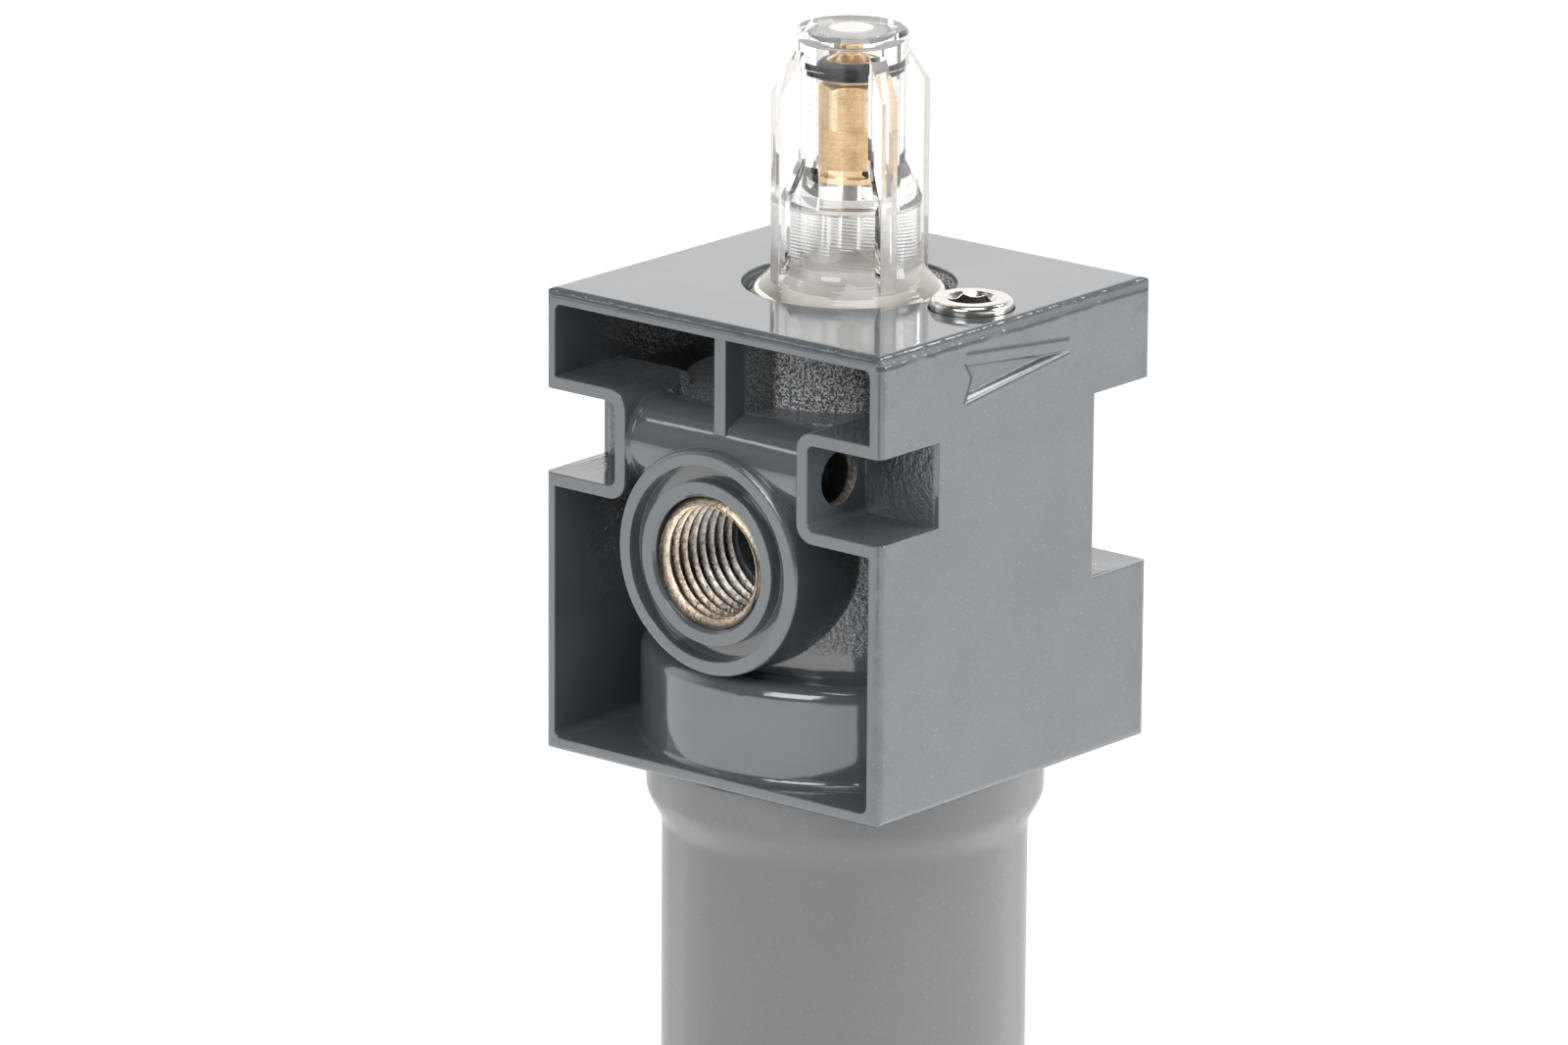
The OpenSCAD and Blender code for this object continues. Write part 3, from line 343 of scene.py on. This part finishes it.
def head_paint():
    """Glossy paint over a die casting: smooth outside, cast grain and painted glints on the core,
    bare bores, and painted shade deep in the clamp holes and along edge lines.
    """
    f = Finish("head_paint", IOR=1.5, Specular_IOR_Level=1.0)
    x, y, z = f.axes()
    reach = f.length(x, y)
    z = z - HEAD_TOP
    # Places inside the four outer walls, and the outer faces without the top one
    outer = f.largest(abs(y), abs(z + HEAD_H / 2) - HEAD_H / 2 + HALF)
    inside = f.band(HALF - 0.4 * MM - outer, 0.0, 0.4 * MM)
    upper_face = z > -0.1 * MM
    outside = (1 - inside) * (1 - upper_face)
    # Cast grain: sharp on the flanks of the boss and core, faint deep inside the walls
    port = f.length(y, z - PORT_DROP)
    flank = 1 - f.band(reach, CORE_R, CORE_R + 1.0 * MM)
    deep = 1 - f.band(abs(x), 13.0 * MM, 18.5 * MM)
    above = f.band(z, PORT_DROP - 10.0 * MM, PORT_DROP - 8.0 * MM)
    sides = f.band(abs(x), 7.0 * MM, 9.0 * MM) * (port > 7.0 * MM)
    zone = inside * above * f.largest(flank * sides, deep * 0.5)
    boss = (1 - f.band(reach, BOSS_R, BOSS_R + 0.5 * MM)) * (z > BOSS_LOW)
    glint = f.band(f.spots(4600, 2.0, 0.6), 0.47, 0.57)
    grain = f.between(boss, f.spots(1700, 3.0, 0.6), f.spots(3000, 3.0, 0.62))
    # Thin paint and painted shade: darker, duller lines below the top edges and beside the arrow's
    # recess
    wander = 0.5 * MM * (f.spots(240, 2.0, 0.5) - 0.5)
    rim = f.band(abs(z + 1.15 * MM + wander), 0.34 * MM, 0.06 * MM)
    patchy = f.band(f.spots(130, 2.0, 0.5), 0.26, 0.38)
    thin_paint_and_shade = outside * (rim * patchy + thin_paint_and_shade_round_arrow(f, x, y, z, wander))
    thin_paint_and_shade = thin_paint_and_shade * (z < -0.5 * MM)
    # Mottled paint near the outer faces' edges, and chips along the top edges
    near_edge = f.band(HALF - abs(x), 3.5 * MM, 0.5 * MM) + f.band(z, -5.0 * MM, -1.5 * MM)
    mottle = outside * near_edge * f.band(f.spots(520, 2.0, 0.5), 0.50, 0.62)
    chips = (f.largest(abs(x), abs(y)) > HALF - 0.3 * MM) * (z > -0.3 * MM)
    chips = chips * f.band(f.spots(1500, 2.0, 0.6), 0.61, 0.67)
    dust = (1 - inside) * f.band(f.spots(3300, 2.0, 0.6), 0.60, 0.72)
    # Bare drilled metal in the clamp holes, with painted shade deeper in, and bare turned metal
    # under the dome
    hole = f.length(abs(x) - BAR_X, z - BAR_DROP)
    drilled = (hole < CLAMP_R + 0.1 * MM) * (abs(y) < POCKET_Y - 0.05 * MM)
    painted_hole_shade = drilled * f.band(POCKET_Y - abs(y), 0.8 * MM, 1.2 * MM)
    turned = (reach < DOME_BORE_R) * (z < DOME_BORE_TOP) * (z > DOME_BORE_LOW)
    bare = f.largest(drilled, turned)
    # Colour
    cloud = f.spots(95, 3.0, 0.5)
    swarf = f.spots(1500, 3.0, 0.6)
    # Painted highlights: bright glints on the cast flanks, brighter on the boss
    painted_glints = inside * above * flank * sides * glint * f.between(boss, 0.30, 0.95)
    tone = f.blend(f.band(cloud, 0.35, 0.65), PAINT, PAINT_DARK)
    tone = f.blend(dust * 0.14, tone, PAINT_DUST)
    tone = f.blend(painted_glints, tone, PAINTED_CAST_GLINT)
    tone = f.blend(chips * 0.6, tone, PAINT_CHIP)
    metal = f.blend(f.band(swarf, 0.4, 0.6), BARE_DARK, BARE_METAL)
    # Painted shade: the clamp holes go near black deeper in
    metal = f.blend(painted_hole_shade, metal, HOLE_SHADE)
    f.feed("Base Color", f.blend(bare, tone, metal))
    f.feed("Metallic", bare - drilled * 0.6)
    f.feed("Roughness", 0.075 + 0.02 * inside + 0.02 * cloud + 0.05 * zone + 0.22 * bare)
    # Relief
    peel = f.spots(380, 2.0, 0.45) * 0.020 + f.spots(1100, 1.0, 0.4) * 0.004
    peel = peel * (1 - 0.6 * upper_face)
    waves = near_edge * outside * f.spots(520, 2.0, 0.5) * 0.055
    relief = peel + waves + thin_paint_and_shade * 0.06 + zone * grain * 0.34 + bare * swarf * 0.05
    normal = f.bump(relief, f.soft_edges(0.22 * MM))
    f.feed("Normal", normal)
    thin_and_shade_paint = f.node("ShaderNodeBsdfPrincipled", sockets={
        "Base Color": PAINT_THIN_AND_SHADE, "Roughness": 0.3, "Specular IOR Level": 0.15,
        "Normal": normal})
    # Painted shade and thin paint: the darker, duller paint on those lines, and faintly in the
    # mottled patches
    f.show(f.mix(f.largest(thin_paint_and_shade * 0.85, mottle * 0.14), f.whole(), thin_and_shade_paint))
    return f.material


def guard_paint():
    """Smooth half-gloss paint with fine painted glints in it."""
    f = Finish("guard_paint", IOR=1.5, Specular_IOR_Level=0.75)
    cloud = f.spots(60, 3.0, 0.5)
    peel = f.spots(300, 2.0, 0.45)
    # Painted highlights: fine glints painted into the colour
    painted_sparkle = f.band(f.spots(3600, 2.0, 0.6), 0.60, 0.72)
    tone = f.blend(cloud, GUARD_LIGHT, GUARD_DARK)
    f.feed("Base Color", f.blend(painted_sparkle * 0.16, tone, PAINTED_GUARD_GLINT))
    f.feed("Roughness", 0.22 + 0.04 * cloud)
    f.feed("Normal", f.bump(peel * 0.012, f.soft_edges(0.2 * MM)))
    return f.material


def clear_bowl():
    """Clear moulded plastic with faint flow marks, which lets the lamps' light in."""
    f = Finish("clear_bowl", IOR=1.49, Transmission_Weight=1.0, Base_Color=BOWL_TINT,
               Roughness=0.06)
    swirl = f.spots(160, 1.0, 0.4)
    f.feed("Normal", f.bump(swirl * 0.012))
    f.let_light_in(f.whole(), BOWL_TINT)
    return f.material


def clear_dome():
    """The sight dome: polished outside, turned inside, cloudy on its threaded stem."""
    f = Finish("clear_dome", IOR=1.49, Transmission_Weight=1.0, Base_Color=DOME_TINT,
               Roughness=0.02)
    x, y, z = f.axes()
    reach = f.length(x, y)
    z = z - HEAD_TOP
    facing = f.node("ShaderNodeLayerWeight", sockets={"Blend": 0.5}, out="Facing")
    # Painted shade: the tint darkens where the surface turns away from the view
    f.feed("Base Color", f.blend(facing ** 4.0, DOME_TINT, DOME_RIM_SHADE))
    # Flow marks, and turning marks on the chamber's wall and on the skirt
    swirl = f.spots(160, 1.0, 0.4)
    bore = (reach < CHAMBER_R + 0.1 * MM) * (z > 0.2 * MM) * (z < CHAMBER_H - 0.2 * MM)
    bore_lines = z + 0.16 * x + 0.1 * MM * f.spots(300, 1.0, 0.5)
    bore_lines = f.math("SINE", bore_lines * (TAU / (0.34 * MM)))
    skirt = (reach > CHAMBER_R + 2.3 * MM) * (z < SKIRT_TOP)
    skirt_lines = reach + 0.1 * MM * f.spots(250, 1.0, 0.5)
    skirt_lines = f.math("SINE", skirt_lines * (TAU / (0.42 * MM)))
    marks = swirl * 0.012 + bore * bore_lines * 0.005 + skirt * skirt_lines * 0.006
    f.feed("Normal", f.bump(marks))
    # Duller places: the chamber's floor and wall and the stem; painted highlights along the fins'
    # edges, and painted shade on the shoulder and under the top disc
    haze = f.spots(900, 3.0, 0.6)
    cloudy = f.solid(CLOUDY, 0.4)
    painted_fin_highlight = f.solid(FIN_EDGE_HIGHLIGHT, 0.3)
    stem = f.solid(f.blend(haze, STEM_LIGHT, STEM_DARK), 0.5)
    painted_web_shade = f.solid(f.blend(haze, WEB_SHADE_LIGHT, WEB_SHADE_DARK), 0.45)
    slope = z - FIN_TOP + (reach - FIN_R) * FIN_SLOPE > -0.12 * MM
    edge = f.largest(reach > FIN_R - 0.08 * MM, slope) * (z > 0.95 * MM) * (reach > GLASS_R)
    well = (reach > 1.5 * MM) * (reach < CHAMBER_R + 2 * MM) * (z < 0.3 * MM)
    wall = bore * f.band(z, 4.6 * MM, 0.8 * MM)
    shoulder = (reach > CHAMBER_R + 1.2 * MM) * (reach < CHAMBER_R + 2.1 * MM)
    shoulder = shoulder * (abs(z - SHOULDER_Z) < 0.8 * MM)
    under = (reach < ADJUSTER_R + 0.05 * MM) * (abs(z - WEB_Z) < 0.05 * MM)
    # Painted highlights: light opaque lines along the fins' edges
    body = f.mix(edge * f.between(haze, 0.3, 0.7), f.whole(), painted_fin_highlight)
    body = f.mix(f.largest(well * 0.7, wall * 0.5), body, cloudy)
    # Painted shade: dark patches on the wall's step
    body = f.mix(shoulder * 0.45, body, painted_web_shade)
    body = f.mix(z < STEM_TOP, body, stem)
    # Painted shade under the top disc
    f.let_light_in(f.mix(under, body, painted_web_shade), DOME_TINT)
    return f.material


def turned_metal(name, light, dark, rough, lines):
    """Metal turned in a lathe: lines round the axis, so many to a metre, and a wandering tone."""
    f = Finish(name, Metallic=1.0)
    rings = f.spots(1.0, 3.0, 0.6, f.stretch(60, 60, lines))
    cloud = f.spots(700, 3.0, 0.6)
    f.feed("Base Color", f.blend(f.band(rings * 0.6 + cloud * 0.4, 0.3, 0.7), dark, light))
    f.feed("Roughness", rough + 0.12 * rings)
    f.feed("Normal", f.bump(rings * 0.03 + cloud * 0.01, f.soft_edges(0.08 * MM)))
    return f.material


def brass():
    """Turned brass: dark specks, bright corners on the bushing's hexagon that are partly wear and
    partly painted highlight, and a painted highlight on the collar.
    """
    f = Finish("brass", Metallic=1.0)
    x, y, z = f.axes()
    reach = f.length(x, y)
    z = z - HEAD_TOP
    rings = f.spots(1.0, 3.0, 0.6, f.stretch(90, 90, 4200))
    cloud = f.spots(620, 4.0, 0.65)
    speck = f.band(f.spots(4800, 2.0, 0.6), 0.61, 0.67)
    worn_highlit_corners = (z > HEX_LOW) * (z < HEX_HIGH) * f.band(reach, 3.0 * MM, 3.16 * MM)
    painted_collar_highlight = z < COLLAR_HIGH
    tone = f.blend(f.band(rings * 0.35 + cloud * 0.65, 0.32, 0.68), BRASS_DARK, BRASS_LIGHT)
    # Partly wear, partly painted highlight on the corners; painted highlight on the collar
    tone = f.blend(f.largest(worn_highlit_corners * 0.75, painted_collar_highlight * 0.55), tone, BRASS_WORN_AND_HIGHLIGHT)
    f.feed("Base Color", f.blend(speck * 0.7, tone, BRASS_SPECK))
    f.feed("Roughness", 0.24 + 0.14 * cloud)
    f.feed("Normal", f.bump(rings * 0.02 + cloud * 0.05, f.soft_edges(0.1 * MM)))
    return f.material


def thread_metal():
    """Bare thread, cut through the paint: golden near the mouth, with painted shade in the grooves
    between the crests.
    """
    f = Finish("thread_metal", Metallic=1.0)
    x, y, z = f.axes()
    reach = f.length(y, z - PORT_Z)
    mouth = f.band(abs(x), 11.0 * MM, 21.0 * MM)
    cloud = f.spots(500, 3.0, 0.6)
    crest = f.band(reach, 6.4 * MM, 5.8 * MM)
    pits = 1 - f.band(f.spots(2600, 2.0, 0.6), 0.60, 0.50)
    tone = f.blend(f.band(mouth * 0.8 + cloud * 0.4, 0.4, 1.0), THREAD_DEEP, THREAD_MOUTH)
    tone = f.blend(pits * 0.45, tone, THREAD_PIT)
    # Painted shade: the grooves between the crests are darker
    f.feed("Base Color", f.blend(crest, THREAD_VALLEY_SHADE, tone))
    f.feed("Roughness", 0.24 + 0.2 * cloud)
    f.feed("Normal", f.bump(f.spots(1900, 3.0, 0.65) * 0.16))
    return f.material


def moulded(name, light, dark, rough, gloss=0.5):
    """Moulded plastic or rubber with a fine skin."""
    f = Finish(name, IOR=1.5, Specular_IOR_Level=gloss)
    cloud = f.spots(300, 2.0, 0.5)
    skin = f.spots(2400, 2.0, 0.5)
    f.feed("Base Color", f.blend(cloud, dark, light))
    f.feed("Roughness", rough + 0.1 * cloud)
    f.feed("Normal", f.bump(skin * 0.02, f.soft_edges(0.08 * MM)))
    return f.material


def sintered():
    """Bronze balls baked together, with painted shade in the gaps between them."""
    f = Finish("sintered_bronze", Metallic=0.9)
    balls = f.node("ShaderNodeTexVoronoi", sockets={"Vector": f.place, "Scale": 3200.0},
                   out="Distance")
    # Painted shade: darker towards the gaps between the balls
    f.feed("Base Color", f.blend(f.band(balls, 0.1, 0.7), BRONZE, BRONZE_GAP_SHADE))
    f.feed("Roughness", 0.42 + 0.2 * balls)
    f.feed("Normal", f.bump(1 - balls, distance=0.15 * MM, strength=0.8))
    return f.material


finishes = {
    "head_paint": head_paint(),
    "guard_paint": guard_paint(),
    "clear_dome": clear_dome(),
    "clear_bowl": clear_bowl(),
    "brass": brass(),
    "nickel": turned_metal("nickel", NICKEL_LIGHT, NICKEL_DARK, rough=0.13, lines=1800),
    "spring_steel": turned_metal("spring_steel", STEEL_LIGHT, STEEL_DARK, rough=0.2, lines=5400),
    "black_rubber": moulded("black_rubber", RUBBER_LIGHT, RUBBER_DARK, rough=0.38, gloss=0.15),
    "grey_plastic": moulded("grey_plastic", GREY_LIGHT, GREY_DARK, rough=0.4),
    "white_tube": moulded("white_tube", TUBE_LIGHT, TUBE_DARK, rough=0.3),
    "sintered_bronze": sintered(),
}
thread_finish = thread_metal()
for part in frame["record"]["subparts"]:
    node = nodes[part["node"]]
    node.data.materials.clear()
    node.data.materials.append(finishes[part["material_slot"]])


# Modelling

def begin(name):
    """One vertex at the origin, ready to be drawn out."""
    bpy.ops.object.select_all(action="DESELECT")
    bpy.ops.mesh.primitive_plane_add(size=0.001)
    piece = bpy.context.object
    piece.name = name
    piece.data.name = name
    bpy.ops.object.mode_set(mode="EDIT")
    bpy.ops.mesh.select_all(action="SELECT")
    bpy.ops.mesh.merge(type="CENTER")
    bpy.ops.mesh.select_all(action="SELECT")
    return piece


def draw(points, closed=False):
    """Draws the vertex out along points, given in millimetres."""
    here = Vector(points[0])
    bpy.ops.transform.translate(value=here * MM)
    for point in points[1:]:
        step = (Vector(point) - here) * MM
        bpy.ops.mesh.extrude_vertices_move(TRANSFORM_OT_translate={"value": step})
        here = Vector(point)
    bpy.ops.mesh.select_all(action="SELECT")
    if closed:
        bpy.ops.mesh.edge_face_add()
        bpy.ops.mesh.delete(type="ONLY_FACE")
        bpy.ops.mesh.select_all(action="SELECT")


def apply_all(piece):
    for modifier in list(piece.modifiers):
        bpy.ops.object.modifier_apply(modifier=modifier.name)


def wind(piece, axis, steps, pitch=0.0, turns=1):
    """Winds the drawn line round an axis, and along it by a pitch in millimetres at each turn."""
    bpy.ops.object.mode_set(mode="OBJECT")
    screw = piece.modifiers.new("wind", "SCREW")
    screw.axis = axis
    screw.angle = TAU
    screw.screw_offset = pitch * MM
    screw.iterations = turns
    screw.steps = steps
    screw.render_steps = steps
    screw.use_merge_vertices = True
    screw.merge_threshold = SAME_POINT
    apply_all(piece)


def finish_piece(piece, material, body, angle=35):
    """Cleans the mesh, smooths it up to an angle, and gives the piece its material and body."""
    bpy.ops.object.mode_set(mode="EDIT")
    bpy.ops.mesh.select_all(action="SELECT")
    bpy.ops.mesh.remove_doubles(threshold=SAME_POINT)
    bpy.ops.mesh.normals_make_consistent(inside=False)
    bpy.ops.object.mode_set(mode="OBJECT")
    bpy.ops.object.transform_apply(location=True, rotation=True, scale=True)
    bpy.ops.object.shade_smooth_by_angle(angle=math.radians(angle))
    piece.data.materials.clear()
    piece.data.materials.append(material)
    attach(piece, body)


def port_thread(side, name):
    """Internal thread of one port: a tooth wound along the port, cut off square at both ends."""
    piece = begin(name)
    # One tooth, as shares of the pitch: flanks about 60 degrees apart, and a flat crest
    p = THREAD_PITCH
    draw([(0, 0, THREAD_ROOT), (0.10 * p, 0, THREAD_ROOT), (0.44 * p, 0, THREAD_CREST),
          (0.56 * p, 0, THREAD_CREST), (0.90 * p, 0, THREAD_ROOT), (p, 0, THREAD_ROOT)])
    wind(piece, "X", steps=72, pitch=p, turns=THREAD_TURNS)
    bpy.ops.object.mode_set(mode="EDIT")
    first_cut = 0.6 * p
    for cut, low in ((first_cut, True), (first_cut + THREAD_LENGTH, False)):
        bpy.ops.mesh.select_all(action="SELECT")
        bpy.ops.mesh.bisect(plane_co=(cut * MM, 0, 0), plane_no=(1, 0, 0),
                            clear_inner=low, clear_outer=not low)
    bpy.ops.mesh.select_all(action="SELECT")
    bpy.ops.transform.translate(value=((THREAD_START - first_cut) * MM, 0, 0))
    if side < 0:
        bpy.ops.transform.rotate(value=math.pi, orient_axis="Z", center_override=(0, 0, 0))
    bpy.ops.transform.translate(value=(0, 0, PORT_Z))
    bpy.ops.object.mode_set(mode="OBJECT")
    wall = piece.modifiers.new("wall", "SOLIDIFY")
    wall.thickness = THREAD_SKIN * MM
    wall.offset = 1
    apply_all(piece)
    finish_piece(piece, thread_finish, "head")


def pressed_seal():
    """The adjuster's seal, squeezed flat against the bore so that it shows through the plastic."""
    seal = begin("needle_seal_pressed")
    middle = (HEAD_TOP + SEAL_Z) / MM
    # Radius, and height from the seal's middle, in millimetres
    half = [(3.45, 0.58), (3.2, 0.80), (2.8, 0.90), (2.2, 0.90), (1.75, 0.75), (1.6, 0.4)]
    upper = [(r, 0, middle + h) for r, h in half]
    lower = [(r, 0, middle - h) for r, h in reversed(half)]
    draw(upper + lower, closed=True)
    wind(seal, "Z", steps=96)
    finish_piece(seal, finishes["black_rubber"], "needle_ring", angle=60)
    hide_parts("needle_seal")


port_thread(-1, "inlet_thread")
port_thread(1, "outlet_thread")
pressed_seal()


# Floor, light and camera

WHITE = (1, 1, 1, 1)
BLACK = (0, 0, 0, 1)
FLOOR_PALE = (0.8, 0.8, 0.8, 1)
FLOOR_DIM = (0.40, 0.40, 0.40, 1)
FLOOR_SIZE = 12
FLOOR_SEEN = 0.5          # glow that makes the lit floor white to the camera
VIEW_X, VIEW_Y = 0.772, 0.636      # the camera's level direction, seen from above

# Levels of the surroundings: for plain light, and in gloss and through clear plastic round the
# camera and behind the part, with the share of these that is left overhead
PLAIN_LEVEL = 0.33
GLOSS_NEAR, GLOSS_BEHIND, GLOSS_OVERHEAD = 0.12, 1.45, 0.14
CLEAR_NEAR, CLEAR_BEHIND, CLEAR_OVERHEAD = 0.75, 1.12, 0.60

# The photograph's own view, found from the corners of the head: angles in degrees, place in
# metres from the middle of the head's top face, and focal length in the photograph's pixels
CAMERA_TURN = -50.528
CAMERA_TILT = 15.683
CAMERA_ROLL = 0.394
CAMERA_BACK = 1.02223
CAMERA_SIDE = -0.006197
CAMERA_DROP = 0.024356
FOCAL_PIXELS = 10664.1
PHOTO_PIXELS = 1600
SENSOR_WIDTH = 36

# Soft boxes, aimed at the middle of the head's top face: place, width in metres, power in watts
LAMPS = {
    "left_box": ((-0.80, -0.10, 0.60), 0.45, 4.2),
    "front_box": ((0.50, -0.80, 0.45), 0.50, 6.5),
    "top_box": ((-0.10, -0.20, 0.95), 0.50, 3.0),
    "back_left_box": ((-0.418, 0.551, 0.705), 0.08, 0.08),
    "right_box": ((0.647, -0.085, 0.82), 0.2, 0.85),
}


def stage():
    """A pale floor that is white to the camera, and in gloss has dim patches toward the camera,
    away from it and to its right."""
    bpy.ops.object.select_all(action="DESELECT")
    bpy.ops.mesh.primitive_plane_add(size=FLOOR_SIZE, location=(0, 0, 0))
    floor = bpy.context.object
    floor.name = "floor"
    f = Finish("floor", Roughness=0.9)
    x, y, z = f.axes()
    # Metres toward the camera and to its right, and wedges that open both ways from the part
    near = -VIEW_X * x - VIEW_Y * y
    right = VIEW_Y * x - VIEW_X * y
    across = abs(right)
    toward = f.band(near, 0.34, 0.44) * f.band(across / near, 0.34, 0.14)
    away = (near < 0) * f.band(across / -near, 1.7, 0.7)
    front = f.band(right, 0.2, 0.4)
    clear = f.ray("Is Transmission Ray")
    gloss = f.ray("Is Glossy Ray") * (1 - clear)
    dark = gloss * f.largest(toward, away * 0.6)
    f.feed("Base Color", f.blend(dark, FLOOR_PALE, FLOOR_DIM))
    seen = FLOOR_SEEN * f.largest(f.ray("Is Camera Ray"), clear)
    seen = seen + gloss * (1 - 0.75 * dark - 0.22 * front)
    glow = f.node("ShaderNodeEmission", sockets={"Color": WHITE, "Strength": 1.0})
    none = f.node("ShaderNodeEmission", sockets={"Color": BLACK, "Strength": 0.0})
    both = f.node("ShaderNodeAddShader", sockets={0: f.whole(), 1: f.mix(seen, none, glow)})
    f.show(both)
    floor.data.materials.append(f.material)


def world():
    """White to the camera and a plain level of light for all else, but in gloss and through clear
    plastic it is bright behind the part, dim round the camera and dimmer overhead."""
    made = bpy.data.worlds.new("studio")
    bpy.context.scene.world = made
    made.use_nodes = True
    w = Nodes(made.node_tree, "Generated")
    x, y, z = w.axes()
    high = w.band(z, 0.38, 0.66)
    behind = w.band(VIEW_X * x + VIEW_Y * y, -0.25, 0.30)
    gloss = w.between(behind, GLOSS_NEAR, GLOSS_BEHIND) * w.between(high, 1.0, GLOSS_OVERHEAD)
    clear = w.between(behind, CLEAR_NEAR, CLEAR_BEHIND) * w.between(high, 1.0, CLEAR_OVERHEAD)
    # What shows through the dome is half as bright again where the top face mirrors it
    clear = clear * (1 + 0.5 * (w.ray("Glossy Depth") > 0.5))
    level = w.between(w.ray("Is Glossy Ray"), PLAIN_LEVEL, gloss)
    level = w.between(w.ray("Is Transmission Ray"), level, clear)
    level = w.between(w.ray("Is Camera Ray"), level, 1.0)
    back = w.tree.nodes["Background"]
    w.tree.links.new(level.socket, back.inputs["Strength"])
    back.inputs["Color"].default_value = WHITE


def lamp(name, place, size, power):
    data = bpy.data.lights.new(name, "AREA")
    data.shape = "SQUARE"
    data.size = size
    data.energy = power
    box = bpy.data.objects.new(name, data)
    bpy.context.scene.collection.objects.link(box)
    box.location = place
    aim = Vector((0, 0, HEAD_TOP)) - Vector(place)
    box.rotation_euler = aim.to_track_quat("-Z", "Y").to_euler()


def camera():
    turn, tilt, roll = map(math.radians, (CAMERA_TURN, CAMERA_TILT, CAMERA_ROLL))
    back = Vector((math.sin(turn) * math.cos(tilt), -math.cos(turn) * math.cos(tilt),
                   math.sin(tilt)))
    level = Vector((math.cos(turn), math.sin(turn), 0))
    upright = back.cross(level)
    right = level * math.cos(roll) + upright * math.sin(roll)
    up = back.cross(right)
    place = back * CAMERA_BACK + level * CAMERA_SIDE + Vector((0, 0, HEAD_TOP - CAMERA_DROP))
    data = bpy.data.cameras.new("camera")
    data.sensor_width = SENSOR_WIDTH
    data.lens = FOCAL_PIXELS * SENSOR_WIDTH / PHOTO_PIXELS
    data.clip_start = 0.05
    eye = bpy.data.objects.new("camera", data)
    bpy.context.scene.collection.objects.link(eye)
    eye.matrix_world = Matrix((
        (right.x, up.x, back.x, place.x), (right.y, up.y, back.y, place.y),
        (right.z, up.z, back.z, place.z), (0, 0, 0, 1)))
    bpy.context.scene.camera = eye


stage()
world()
for name, (place, size, power) in LAMPS.items():
    lamp(name, place, size, power)
camera()
bpy.context.scene.view_settings.view_transform = "Standard"
